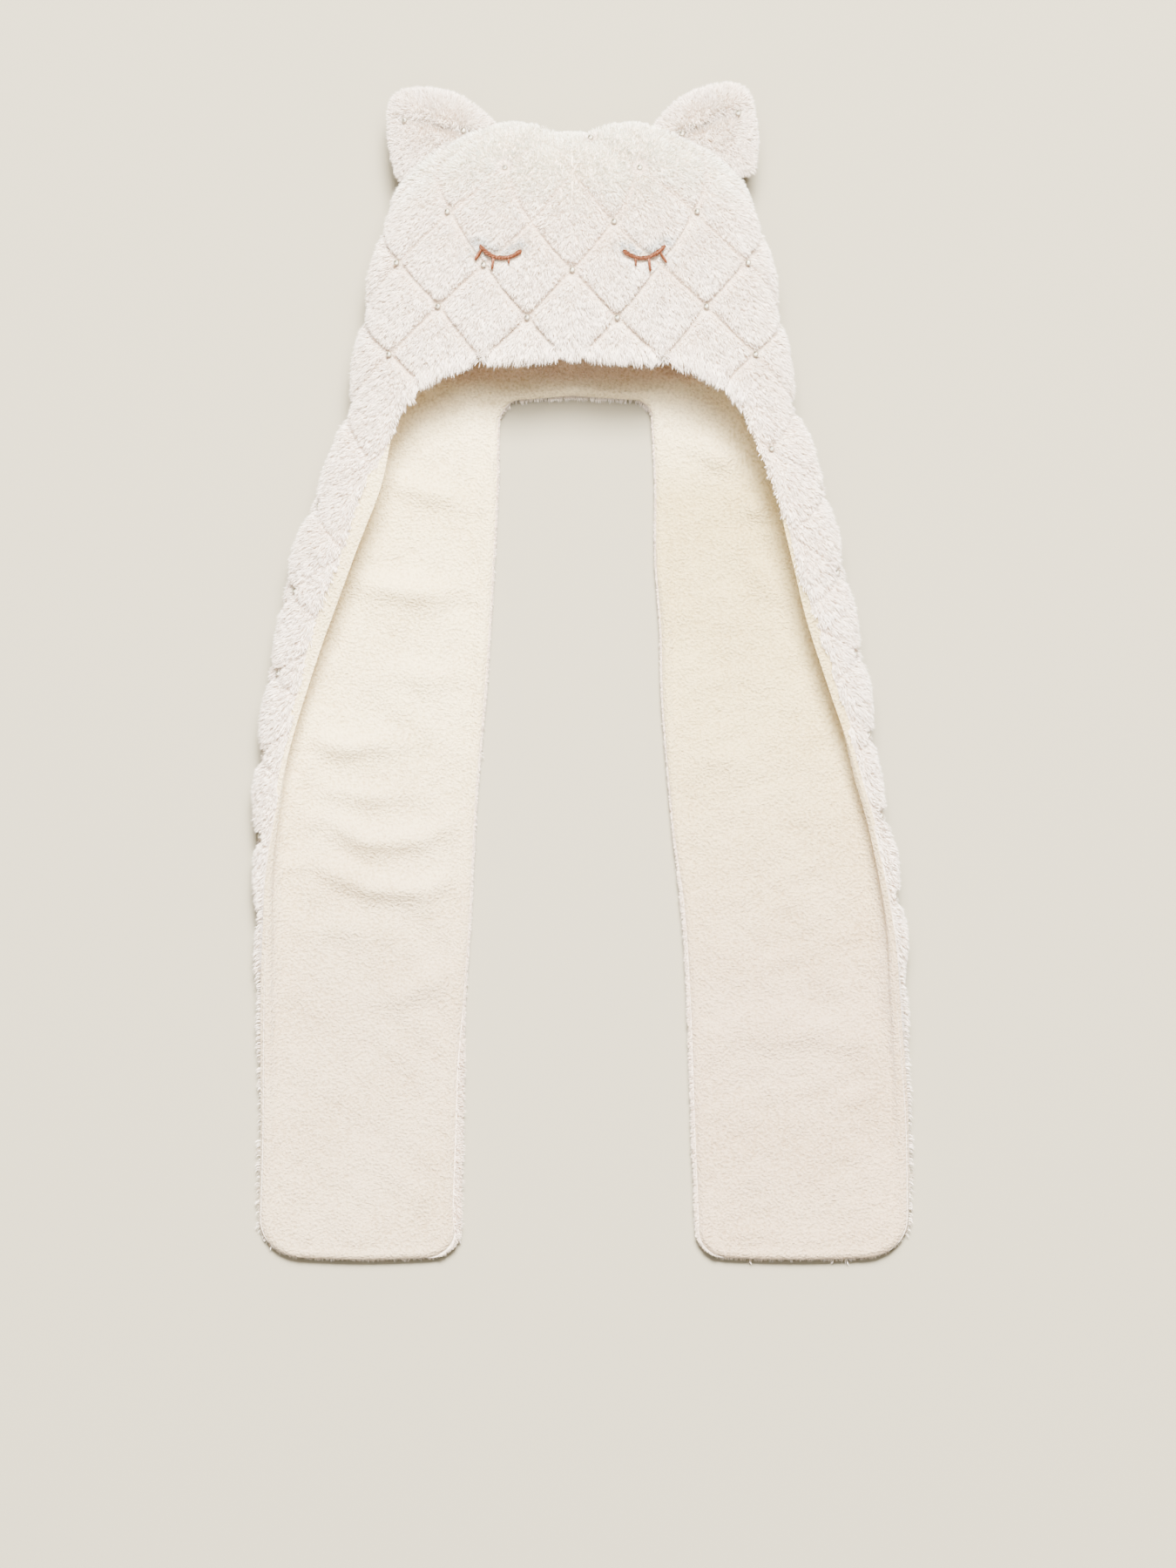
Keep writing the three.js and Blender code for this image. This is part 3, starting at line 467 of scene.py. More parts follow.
def section(side, v):
    """Level, lift, flat part, side radius and height of the cross-section at each row."""
    t = np.clip((v - WIDEST_LEVEL) / CROWN_ARC, 0, 1)
    turn = math.pi / 2 * t - CROWN_SLACK * np.sin(math.pi * t)
    full = np.cos(turn)
    slope = np.clip(v / WIDEST_LEVEL, 0, 1)
    below = NECK_OUTER + (WIDEST_OUTER - NECK_OUTER) * slope
    corner = np.maximum(full, 1e-6) ** CORNER_FULLNESS
    corner = corner - SHOULDER_TRIM * np.sqrt(np.maximum(np.sin(turn), 0)) * full
    above = CROWN_OUTER + (WIDEST_OUTER - CROWN_OUTER) * corner
    outer = np.where(v <= WIDEST_LEVEL, below, above)
    roof = FOREHEAD_ROOF + (WIDEST_ROOF - FOREHEAD_ROOF) * smooth(v / WIDEST_LEVEL)
    radius = (NECK_RADIUS + (SIDE_RADIUS - NECK_RADIUS) * slope) * full
    hood = (
        np.minimum(v, WIDEST_LEVEL) + CROWN_REACH * np.sin(turn),
        CROWN_LIFT * (1 - full),
        outer - radius,
        radius,
        roof * full - 2 * radius,
    )
    y = tail_level(side, v)
    share = -y / TAIL_LENGTH
    radius = tail_value(side, RADIUS, share) * HOOD_DEPTH
    lap = tail_value(side, LAP, share) * HOOD_DEPTH
    outer = tail_value(side, OUTER, share) * NECK_WIDTH - SILHOUETTE_LOFT
    flat = outer - radius * np.sin(np.minimum(lap / radius, math.pi / 2))
    height = np.full_like(v, FOREHEAD_ROOF - 2 * NECK_RADIUS)
    tail = (y, np.zeros_like(v), flat, radius, height)
    return [np.where(v >= 0, a, b) for a, b in zip(hood, tail)]


def front_length(flat, radius, height):
    """Length of the fabric from the middle of the front to the start of the back."""
    turn = 2 * np.arctan2(flat, height)
    roof_radius = flat / np.sin(turn) + radius
    return radius * turn + roof_radius * (math.pi - turn)


NECK_FLAT = NECK_OUTER - NECK_RADIUS
CURL_START = float(front_length(NECK_FLAT, NECK_RADIUS, FOREHEAD_ROOF - 2 * NECK_RADIUS))
BACK_MIDDLE = CURL_START + NECK_FLAT


def curl_start(v):
    return CURL_START - TAIL_DRIFT * rise(-v, DRIFT_START, DRIFT_REACH)


def free_edge(side, v):
    share = -tail_level(side, v) / TAIL_LENGTH
    return curl_start(v) - tail_value(side, LAP, share) * HOOD_DEPTH


def inner_edge(side, v):
    y, _, flat, _, _ = section(side, v)
    inner = tail_value(side, INNER, -y / TAIL_LENGTH) * NECK_WIDTH
    return curl_start(v) + flat - inner


def backing(side, u, v):
    """Points of the fur's backing for fabric points, in the right-hand side's frame."""
    y, lift, flat, radius, height = section(side, v)
    narrowing = np.where(v >= 0, front_length(flat, radius, height) / CURL_START, 1)
    back_narrowing = np.where(v >= 0, flat / NECK_FLAT, 1)
    across = np.sin(math.pi * np.clip(u / CURL_START, 0, 1))
    y = y + CHEEK_PULL * across**4 * rise(v, CHEEK_LOW, CHEEK_HIGH - CHEEK_LOW)
    base = BACK_HEIGHT + lift
    start = curl_start(v)
    turn = 2 * np.arctan2(flat, height)
    side_arc = radius * turn
    arc = np.maximum(start - u, 0) * narrowing
    angle = np.minimum(arc, side_arc) / radius
    x = flat + radius * np.sin(angle)
    z = base + radius * (1 - np.cos(angle))
    roof_radius = flat / np.sin(turn) + radius
    over = turn + np.maximum(arc - side_arc, 0) / roof_radius
    x = x + roof_radius * (np.sin(over) - np.sin(turn))
    z = z + roof_radius * (np.cos(turn) - np.cos(over))
    x = np.where(u >= start, flat - (u - start) * back_narrowing, x)
    z = np.where(u >= start, base, z)
    return np.stack([x, y, z], axis=1)


def spans(side, u, v):
    """Short steps across and along the fabric at each place."""
    high = np.minimum(v + NORMAL_REACH, TOP_ROW)
    across = backing(side, u + NORMAL_REACH, v) - backing(side, u - NORMAL_REACH, v)
    along = backing(side, u, high) - backing(side, u, high - 2 * NORMAL_REACH)
    return across, along


def normals_at(side, u, v):
    return unit(np.cross(*spans(side, u, v)))


def tangents_at(side, u, v):
    """Directions across and along the fabric, in the row's frame."""
    across, along = spans(side, u, v)
    mirror = np.array([side, 1, 1])
    return unit(across * mirror), unit(along * mirror)


def wrap(side, u, v, h):
    """Row-frame points in millimetres, h outside the fur's backing."""
    points = backing(side, u, v) + normals_at(side, u, v) * np.asarray(h)[:, None]
    points[:, 0] = points[:, 0] * side + ROW_X
    points[:, 1] += ROW_Y
    points[:, 2] = np.maximum(points[:, 2], FLOOR_CLEARANCE)
    return points


def spline(points, steps):
    """Points on a smooth curve through the given ones."""
    p = np.array(points, float)
    p = np.vstack([2 * p[0] - p[1], p, 2 * p[-1] - p[-2]])
    out = []
    for i in range(1, len(p) - 2):
        for k in range(steps):
            t = k / steps
            a, b, c, d = p[i - 1], p[i], p[i + 1], p[i + 2]
            out.append(
                0.5 * (2 * b + (c - a) * t + (2 * a - 5 * b + 4 * c - d) * t**2
                       + (3 * b - a - 3 * c + d) * t**3)
            )
    out.append(p[-2])
    return np.array(out)


def arc_points(centre, radius, start, end, steps):
    angles = np.radians(np.linspace(start, end, steps + 1))
    return np.stack([centre[0] + radius * np.cos(angles), centre[1] + radius * np.sin(angles)], 1)


def resampled(points, step):
    """The same line with points at even steps."""
    lengths = np.linalg.norm(np.diff(points, axis=0), axis=1)
    along = np.concatenate([[0], np.cumsum(lengths)])
    count = max(1, int(round(along[-1] / step)))
    at = np.linspace(0, along[-1], count + 1)
    return np.stack([np.interp(at, along, points[:, k]) for k in range(2)], 1)


def by_level(tables, side, v):
    """Value of a half's table at each row, by level below the neck hem."""
    levels, values = zip(*tables[side])
    return np.interp(-tail_level(side, np.minimum(v, 0)), levels, values)


def pattern_lines(side, step, is_lining):
    """Free edge and seams of one half in flat fabric, as two lines that meet at the crown."""
    end = float(row_at(side, -TAIL_LENGTH))
    outer_row = end + OUTER_END_RADIUS
    inner_row = end + INNER_END_RADIUS
    inset = LINING_SET_BACK if is_lining else 0.0
    angles = np.radians(np.linspace(90, FRONT_END_ANGLE, FRONT_POINTS))
    front = np.stack([
        (FACE_OPENING_WIDTH / 2 + inset) * np.cos(angles),
        FOREHEAD_HEIGHT - CHEEK_DROP + (CHEEK_DROP + inset) * np.sin(angles),
    ], 1)
    rows = np.array([float(row_at(side, -share * TAIL_LENGTH)) for share in TAIL_SHARES[2:-1]])
    outer = np.stack([free_edge(side, rows) - by_level(ROLLED_STRIP, side, rows) + inset, rows], 1)
    last = float(free_edge(side, np.array([outer_row]))[0]) - ROLLED_STRIP[side][-1][1] + inset
    outer = np.vstack([front[-1], outer, [last, outer_row]])
    outer_end = arc_points((last + OUTER_END_RADIUS, outer_row + inset), OUTER_END_RADIUS, 180, 270, 12)
    rows = np.linspace(inner_row, -NECK_CORNER_RADIUS, INNER_POINTS)
    inner = inner_edge(side, rows) - (by_level(INNER_INSET, side, rows) if is_lining else 0)
    inner_end = arc_points((inner[0] - INNER_END_RADIUS, inner_row + inset),
                           INNER_END_RADIUS, 270, 360, 10)
    sag = np.sin(np.linspace(0, math.pi, BOTTOM_POINTS)[1:-1])
    bottom = np.stack([
        np.linspace(outer_end[-1][0], inner_end[0][0], BOTTOM_POINTS)[1:-1],
        end + inset - END_SAG * sag,
    ], 1)
    corner = arc_points((inner[-1] + NECK_CORNER_RADIUS, -NECK_CORNER_RADIUS),
                        NECK_CORNER_RADIUS, 180, 90, 8)
    free = np.vstack([
        front[:-1], spline(outer, 12), outer_end[1:], bottom, inner_end,
        np.stack([inner, rows], 1)[1:], corner[1:], [[BACK_MIDDLE, HEM_LIFT]],
    ])
    seam = np.array([
        [BACK_MIDDLE, HEM_LIFT], [BACK_MIDDLE, TOP_ROW], [0, TOP_ROW], [0, FOREHEAD_HEIGHT + inset],
    ])
    seams = [resampled(seam[k : k + 2], step) for k in range(3)]
    return resampled(free, step), np.vstack([seams[0][:-1], seams[1][:-1], seams[2]])


def inside(points, outline):
    """Which points lie inside a closed outline."""
    x, y = points[:, 0], points[:, 1]
    result = np.zeros(len(points), bool)
    a, b = outline, np.roll(outline, -1, axis=0)
    for (x0, y0), (x1, y1) in zip(a, b):
        if y0 == y1:
            continue
        crosses = (y0 > y) != (y1 > y)
        result ^= crosses & (x < (x1 - x0) * (y - y0) / (y1 - y0) + x0)
    return result


def distances(points, line):
    """Distance of flat points from a densely sampled line."""
    tree = kd_tree(line)
    return np.array([tree.find((x, y, 0))[2] for x, y in points])


def lattice(outline, step):
    """Points inside an outline on a lattice that runs along the quilting's diagonals."""
    lo, hi = outline.min(0), outline.max(0)
    reach = int((hi - lo).sum() / step) + 2
    first = (lo[0] + lo[1] - FIRST_CROSSING) / QUILT_PITCH
    cells = max(1, round(QUILT_PITCH / (step * math.sqrt(2))))
    i = np.arange(math.floor(first * cells) - 1, math.floor(first * cells) + reach * 2)
    j = np.arange(-reach * 2, reach * 2)
    a, b = np.meshgrid(i / cells, j / cells)
    u = (a + b).ravel() * QUILT_PITCH / 2
    v = (a - b).ravel() * QUILT_PITCH / 2 + FIRST_CROSSING
    points = np.stack([u, v], 1)
    points = points[np.all((points > lo - step) & (points < hi + step), axis=1)]
    return points[inside(points, outline)]


def rings_inside(free, outline, offsets):
    """Points at set distances inside the free edge."""
    tangents = unit(np.gradient(free, axis=0))
    inward = np.stack([-tangents[:, 1], tangents[:, 0]], 1)
    if inside(free + inward, outline).mean() < 0.5:
        inward = -inward
    fine = resampled(free, RING_SAMPLE)
    rings = []
    for offset in offsets:
        ring = free + inward * offset
        ring = ring[inside(ring, outline)]
        rings.append(ring[distances(ring, fine) > RING_SHARE * offset])
    return np.vstack(rings)


def flat_mesh(outline, free, step, offsets=()):
    """Triangles over a flat outline, and each point's distance to its free edge."""
    closed = resampled(np.vstack([outline, outline[:1]]), EDGE_SAMPLE)
    free_line = resampled(free, EDGE_SAMPLE)
    fill = lattice(outline, step)
    fill = fill[distances(fill, closed) > EDGE_CLEARANCE * step]
    if offsets:
        fill = fill[distances(fill, free_line) > offsets[-1] + RING_CLEARANCE * step]
        rings = rings_inside(free, outline, offsets)
        fill = np.vstack([fill, rings[distances(rings, closed) > SEAM_CLEARANCE]])
    points = np.vstack([outline, fill])
    ring = list(range(len(outline)))
    result = delaunay_2d_cdt([Vector(p) for p in points], [], [ring], 1, 1e-5)
    flat = np.array([tuple(p) for p in result[0]])
    triangles = np.array([f for f in result[2] if len(f) == 3])
    return flat, triangles, distances(flat, free_line)


def panel(side, step, is_lining, offsets):
    """Flat fabric of one half: its fine face with distances to the free edge, and a coarse back."""
    free, seams = pattern_lines(side, step, is_lining)
    outline = np.vstack([free[:-1], seams[:-1]])
    return flat_mesh(outline, free, step, offsets), flat_mesh(outline, free, HIDDEN_STEP)[:2]


def quilt_places(u, v):
    """Places across both families of quilting lines, counted in lines."""
    return (u + v - FIRST_CROSSING) / QUILT_PITCH, (u - v + FIRST_CROSSING) / QUILT_PITCH


def crown_share(v):
    """How far the quilting fades towards the crown."""
    return rise(v, *CROWN_FADE)


def quilt_loft(u, v):
    """Height of the puffs and of the valleys between them."""
    a, b = quilt_places(u, v)
    puff = np.abs(np.sin(math.pi * a) * np.sin(math.pi * b)) ** VALLEY_SHARPNESS
    valley = VALLEY_LOFT + TAIL_VALLEY_RISE * rise(-v, *TAIL_FADE) + CROWN_VALLEY_RISE * crown_share(v)
    return valley + (PUFF_LOFT - valley) * puff


def unevenness(u, v, seed):
    """Soft random swelling of about one millimetre, the same on every run."""
    rng = np.random.default_rng(seed)
    total = np.zeros_like(u)
    for _ in range(WAVES):
        direction = rng.uniform(0, 2 * math.pi)
        length = rng.uniform(*WAVE_LENGTHS)
        phase = rng.uniform(0, 2 * math.pi)
        across = u * math.cos(direction) + v * math.sin(direction)
        total += np.sin(across * 2 * math.pi / length + phase)
    return total / WAVE_DIVISOR


def rim(distance, rounding):
    """Share of the full thickness near a free edge."""
    t = np.clip(distance / rounding, 0, 1)
    return np.sqrt(1 - (1 - t) ** 2)


def mesh_object(name, points, triangles, *materials):
    """A mesh of triangles from points in millimetres of the row frame."""
    mesh = bpy.data.meshes.new(name)
    mesh.vertices.add(len(points))
    mesh.vertices.foreach_set("co", (np.asarray(points, np.float32) * MM).ravel())
    mesh.loops.add(3 * len(triangles))
    mesh.loops.foreach_set("vertex_index", np.asarray(triangles, np.int32).ravel())
    mesh.polygons.add(len(triangles))
    mesh.polygons.foreach_set("loop_start", np.arange(0, 3 * len(triangles), 3, dtype=np.int32))
    mesh.update(calc_edges=True)
    mesh.shade_smooth()
    for material in materials:
        mesh.materials.append(material)
    obj = linked(name, mesh)
    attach(obj, "root")
    return obj


def linked(name, data):
    obj = bpy.data.objects.new(name, data)
    bpy.context.scene.collection.objects.link(obj)
    return obj


def joined(parts):
    """Points and triangles of several parts in one."""
    points, faces, offset = [], [], 0
    for part_points, part_faces in parts:
        points.append(part_points)
        faces.append(np.asarray(part_faces) + offset)
        offset += len(part_points)
    return np.vstack(points), np.vstack(faces)


def set_colours(obj, name, colours):
    layer = obj.data.color_attributes.new(name, "FLOAT_COLOR", "POINT")
    data = np.ones((len(colours), 4), np.float32)
    data[:, :3] = colours
    layer.data.foreach_set("color", data.ravel())


def turned(triangles, side):
    return triangles if side > 0 else triangles[:, ::-1]


def boundary(triangles):
    """Directed edges that only one triangle uses."""
    edges = np.concatenate([triangles[:, [0, 1]], triangles[:, [1, 2]], triangles[:, [2, 0]]])
    keys = {(a, b) for a, b in edges.tolist()}
    return np.array([(a, b) for a, b in edges.tolist() if (b, a) not in keys])


def closed_solid(name, side, face, back, *materials):
    """A piece with a fine face, a coarser back and walls between their shared outlines.

    Face and back are each the points, their places in flat fabric and the triangles.
    """
    points, flat, triangles = face
    back_points, back_flat, back_triangles = back
    edge = boundary(triangles)
    back_edge = boundary(back_triangles)[:, 0]
    tree = kd_tree(back_flat[back_edge])
    across = {int(i): int(back_edge[tree.find((*flat[i], 0))[1]]) + len(points) for i in edge[:, 0]}
    walls = []
    for a, b in edge.tolist():
        walls += [(b, a, across[a]), (b, across[a], across[b])]
    faces = np.vstack([triangles, back_triangles[:, ::-1] + len(points), np.array(walls)])
    obj = mesh_object(name, np.vstack([points, back_points]), turned(faces, side), *materials)
    corners = {tuple(sorted(pair)) for pair in edge.tolist()}
    corners |= {tuple(sorted((across[a], across[b]))) for a, b in edge.tolist()}
    mesh = obj.data
    ends = np.zeros(2 * len(mesh.edges), np.int32)
    mesh.edges.foreach_get("vertices", ends)
    sharp = mesh.attributes.new("sharp_edge", "BOOLEAN", "EDGE")
    pairs = np.sort(ends.reshape(-1, 2), axis=1).tolist()
    sharp.data.foreach_set("value", [tuple(pair) in corners for pair in pairs])
    return obj


# Materials


def new_material(name, settings):
    """A material, its node tree and its shader, with the shader's plain settings."""
    material = bpy.data.materials.new(name)
    material.use_nodes = True
    tree = material.node_tree
    shader = tree.nodes["Principled BSDF"]
    for socket, value in settings.items():
        shader.inputs[socket].default_value = value
    return material, tree, shader


def noise(tree, scale, detail):
    """Noise in the object's own coordinates."""
    node = tree.nodes.new("ShaderNodeTexNoise")
    node.inputs["Scale"].default_value = scale
    node.inputs["Detail"].default_value = detail
    tree.links.new(object_place(tree), node.inputs["Vector"])
    return node.outputs["Fac"]


def ramp(tree, value, stops):
    node = tree.nodes.new("ShaderNodeValToRGB")
    elements = node.color_ramp.elements
    for element, (position, colour) in zip(elements, stops):
        element.position = position
        element.color = (*colour, 1)
    tree.links.new(value, node.inputs["Fac"])
    return node.outputs["Color"]


def scaled(tree, value, factor):
    node = tree.nodes.new("ShaderNodeMath")
    node.operation = "MULTIPLY"
    node.inputs[1].default_value = factor
    tree.links.new(value, node.inputs[0])
    return node.outputs["Value"]


def attribute_colour(tree, name):
    node = tree.nodes.new("ShaderNodeAttribute")
    node.attribute_name = name
    return node.outputs["Color"]


def multiplied(tree, colour, attribute):
    """A colour times a colour attribute of the mesh."""
    mix = tree.nodes.new("ShaderNodeMix")
    mix.data_type = "RGBA"
    mix.blend_type = "MULTIPLY"
    mix.inputs["Factor"].default_value = 1
    tree.links.new(attribute_colour(tree, attribute), mix.inputs[MIX_FIRST_COLOUR])
    tree.links.new(colour, mix.inputs[MIX_SECOND_COLOUR])
    return mix.outputs[MIX_RESULT_COLOUR]


def bump(tree, shader, height, distance, strength):
    node = tree.nodes.new("ShaderNodeBump")
    node.inputs["Distance"].default_value = distance
    node.inputs["Strength"].default_value = strength
    tree.links.new(height, node.inputs["Height"])
    tree.links.new(node.outputs["Normal"], shader.inputs["Normal"])


def object_place(tree):
    return tree.nodes.new("ShaderNodeTexCoord").outputs["Object"]


def fur_material():
    """Plush between the blades of the pile, painted darker for the shade deep in the pile."""
    material, tree, shader = new_material("plush_fur", {"Roughness": 0.95, "Sheen Weight": 0.4})
    tufts = noise(tree, 260, 5)
    colour = ramp(tree, tufts, [(0.3, (0.7, 0.57, 0.44)), (0.7, (0.84, 0.71, 0.57))])
    # Its colour is multiplied by painted shade from a colour attribute.
    tree.links.new(multiplied(tree, colour, "plush_painted_shade"), shader.inputs["Base Color"])
    bump(tree, shader, tufts, 0.003, 0.8)
    return material


def pile_material():
    """Blades of the pile: warm at the root, near white at the tip, with painted shade and light."""
    material, tree, shader = new_material("fur_pile", {"Roughness": 0.8, "Specular IOR Level": 0.2})
    tree.links.new(attribute_colour(tree, "colour_with_painted_shade_and_light"), shader.inputs["Base Color"])
    return material


def fleece_material():
    """Dense fleece with a fine nap and soft blotches."""
    material, tree, shader = new_material("cream_fleece", {"Roughness": 0.95, "Sheen Weight": 0.3})
    nap = noise(tree, 520, 4)
    blotch = noise(tree, 22, 3)
    mixed = tree.nodes.new("ShaderNodeMath")
    mixed.operation = "MULTIPLY_ADD"
    mixed.inputs[1].default_value = NAP_TO_BLOTCH
    tree.links.new(nap, mixed.inputs[0])
    tree.links.new(blotch, mixed.inputs[2])
    mean = scaled(tree, mixed.outputs["Value"], 1 / (NAP_TO_BLOTCH + 1))
    colour = ramp(tree, mean, [(0.3, (0.6, 0.44, 0.22)), (0.56, (0.88, 0.71, 0.42))])
    # The fleece's colour is multiplied by its painted light and shade
    tree.links.new(multiplied(tree, colour, "fleece_painted_light"), shader.inputs["Base Color"])
    bump(tree, shader, nap, 0.003, 1)
    return material


def pearl_material():
    """Lustrous pearl with a clear coat."""
    material, tree, shader = new_material(
        "pearl_lustre", {"Roughness": 0.1, "Coat Weight": 0.8, "Coat Roughness": 0.04})
    tint = ramp(tree, noise(tree, 900, 2), [(0.35, (0.86, 0.82, 0.8)), (0.65, (1, 1, 0.96))])
    # The tint is multiplied by the pearl's painted shade at its foot and hole, from an attribute
    tree.links.new(multiplied(tree, tint, "colour_with_painted_shade_and_light"), shader.inputs["Base Color"])
    return material


def thread_material():
    """Copper-coloured metallic thread, lighter where its twist catches the light."""
    material, tree, shader = new_material("copper_embroidery", {"Metallic": 0.55, "Roughness": 0.38})
    twist = tree.nodes.new("ShaderNodeTexWave")
    for socket, value in {"Scale": 500, "Distortion": 3, "Detail": 2}.items():
        twist.inputs[socket].default_value = value
    tree.links.new(object_place(tree), twist.inputs["Vector"])
    strands = twist.outputs["Fac"]
    colour = ramp(tree, strands, [(0.3, (0.04, 0.01, 0.004)), (0.75, (0.26, 0.08, 0.028))])
    tree.links.new(colour, shader.inputs["Base Color"])
    bump(tree, shader, strands, 0.0004, 0.6)
    return material


def floor_material():
    return new_material("pale_floor", {
        "Base Color": (0.32, 0.282, 0.2, 1), "Roughness": 0.9, "Specular IOR Level": 0.1})[0]


FUR = fur_material()
PILE = pile_material()
FLEECE = fleece_material()
PEARL = pearl_material()
THREAD = thread_material()


# Cloth


def line_offsets(u, v):
    """Signed distance to the nearest quilting line, and whether that line is of the first family."""
    a, b = quilt_places(u, v)
    off_a, off_b = (a - np.round(a)) * LINE_SPACING, (b - np.round(b)) * LINE_SPACING
    is_a = np.abs(off_a) < np.abs(off_b)
    return np.where(is_a, off_a, off_b), is_a


def fur_shell(side, name, pearls_at):
    """Quilted fur of one half: puffs outside, its backing inside."""
    step = LINE_SPACING / CELLS_PER_DIAMOND
    (flat, triangles, distance), (back_flat, back_triangles) = panel(side, step, False, FUR_RINGS)
    u, v = flat.T
    is_strip = (v < 0) & (u < free_edge(side, v) - STRIP_MARGIN)
    swelling = unevenness(u, v, FUR_SEED + side) * smooth(u / SEAM_EVENNESS)
    loft = quilt_loft(u, v) + FUR_SWELLING * swelling * rim(distance, SWELLING_START)
    loft = np.where(is_strip, STRIP_LOFT + STRIP_SWELLING * swelling, loft)
    height = FUR_EDGE + (loft - FUR_EDGE) * rim(distance, RIM_ROUNDING)
    points = wrap(side, u, v, height)
    back = wrap(side, *back_flat.T, np.zeros(len(back_flat)))
    obj = closed_solid(name, side, (points, flat, triangles), (back, back_flat, back_triangles),
                       FUR, FLEECE)
    # Painted light and shade of the fleece, for the strip of fleece on the fur
    set_colours(obj, "fleece_painted_light", painted_fleece_light(side, *np.vstack([flat, back_flat]).T))
    # Painted shade on the plush at the quilting (less at the crown) and round the pearls, tinted warm
    to_line = np.abs(line_offsets(u, v)[0])
    line_shade = SHELL_LINE_SHADE * bell(to_line, SHELL_LINE_WIDTH)
    line_shade = line_shade * (1 - CROWN_LIGHTENING * crown_share(v))
    plush_painted_shade = (1 - line_shade) * shade_near(points, pearls_at, *SHELL_PEARL_SHADE)
    plush_painted_shade = np.concatenate([plush_painted_shade, np.ones(len(back_flat))])
    set_colours(obj, "plush_painted_shade", plush_painted_shade[:, None] ** np.array(PAINTED_SHADE_WARMTH))
    indices = np.zeros(len(obj.data.polygons), np.int32)
    indices[: len(triangles)] = is_strip[triangles].all(axis=1)
    indices[len(triangles) + len(back_triangles) :] = 1
    obj.data.polygons.foreach_set("material_index", indices)
    return obj, dict(side=side, flat=flat, triangles=triangles, points=points, strip=is_strip,
                     distance=distance)


def fold_height(points):
    """Height of the lining's folds at plan points of the cloth's frame."""
    total = np.zeros(len(points))
    for line, height, width in FOLDS:
        fine = spline(line, 10) if len(line) > 2 else resampled(np.array(line, float), 3)
        off = points[:, None] - fine
        distance = np.hypot(off[:, :, 0], off[:, :, 1])
        nearest = distance.argmin(1)
        fade = FOLD_END + (1 - FOLD_END) * np.sin(math.pi * (nearest / (len(fine) - 1)))
        every = np.arange(len(points))
        signed = distance[every, nearest] * np.sign(off[every, nearest, 1])
        total += FOLD_SCALE * height * fade * bell(signed - FOLD_SHIFT * width, width)
    return total


def painted_fleece_light(side, u, v):
    """Painted light and shade: fleece greyer down the tails, lit at the hem, redder in the hood's
    shadow.
    """
    y = np.where(v < 0, tail_level(side, np.minimum(v, 0)), v)
    levels, colours = zip(*FLEECE_PAINTED_LIGHT[side])
    return np.stack([np.interp(y, levels, channel) for channel in zip(*colours)], 1)


def lining_sheet(side, name):
    """Fleece face of one half, with its folds and a rolled edge."""
    face, (back_flat, back_triangles) = panel(side, LINING_STEP, True, LINING_RINGS)
    flat, triangles, distance = face
    u, v = flat.T
    plan = backing(side, u, v)[:, :2] * (side, 1)
    on_floor = smooth((u - curl_start(v) + FOLD_RUN_OUT) / FOLD_RUN_OUT)
    folds = fold_height(plan) * smooth(distance / FOLD_START) * on_floor
    roll = ridge(distance, *EDGE_ROLL) - ridge(distance, *EDGE_GROOVE)
    swelling = LINING_SWELLING * unevenness(u, v, LINING_SEED + side)
    swelling = swelling * smooth(distance / LINING_SWELLING_START)
    bulge = SEAM_BULGE * bell(BACK_MIDDLE - u, SEAM_BULGE_WIDTH) * (v > 0)
    bulge = bulge * smooth(distance / BULGE_START)
    strip = by_level(ROLLED_STRIP, side, v) * (v < 0)
    past = distance - strip
    relief = smooth(strip / WIDE_STRIP) * (ridge(past, *STRIP_ROLL) - ridge(past, *STRIP_GROOVE))
    depth = GAP + LINING_THICKNESS * rim(distance, LINING_ROUNDING) + relief
    depth = depth + (roll + swelling + folds) * (v < TOP_ROW - CROWN_BAND) + bulge
    points = wrap(side, u, v, -np.maximum(depth, GAP + THINNEST_LINING))
    back = wrap(side, *back_flat.T, np.full(len(back_flat), -GAP / 2))
    obj = closed_solid(name, -side, (points, flat, triangles), (back, back_flat, back_triangles), FLEECE)
    # Painted light and shade of the fleece by place
    set_colours(obj, "fleece_painted_light", painted_fleece_light(side, *np.vstack([flat, back_flat]).T))
    (x0, y0), (x1, y1) = (flat[triangles[:, k]].T - flat[triangles[:, 0]].T for k in (1, 2))
    flat_area = float(np.abs(x0 * y1 - y0 * x1).sum() / 2)
    extent = flat.max(0) - flat.min(0)
    return obj, extent * MM, flat_area * MM * MM


# Pile


def surface_samples(points, triangles, weights, count, rng):
    """Places on a surface, spread by area and weight: the corners round each and their shares."""
    a, b, c = (points[triangles[:, k]] for k in range(3))
    areas = np.linalg.norm(np.cross(b - a, c - a), axis=1) * weights
    chosen = rng.choice(len(triangles), count, p=areas / areas.sum())
    r1, r2 = np.sqrt(rng.random(count)), rng.random(count)
    return triangles[chosen], np.stack([1 - r1, r1 * (1 - r2), r1 * r2], 1)


def blended(values, corners, mix):
    """Values of the mesh at places inside its triangles."""
    return (values[corners] * mix[:, :, None]).sum(1)


def vertex_normals(points, triangles):
    a, b, c = (points[triangles[:, k]] for k in range(3))
    faces = np.cross(b - a, c - a)
    normals = np.zeros_like(points)
    for k in range(3):
        np.add.at(normals, triangles[:, k], faces)
    return unit(normals)


def clump_pull(roots, rng):
    """Vector from each root to the middle of its tuft, and the tuft's number."""
    lo = roots.min(0)
    centres = roots[rng.choice(len(roots), int(len(roots) / TUFT_BLADES), replace=False)]
    tree = kd_tree(centres - lo)
    found = np.array([tree.find(root - lo)[1] for root in roots])
    pull = centres[found] - roots
    length = np.linalg.norm(pull, axis=1, keepdims=True)
    return pull * np.minimum(1, TUFT_PULL / np.maximum(length, 1e-6)), found


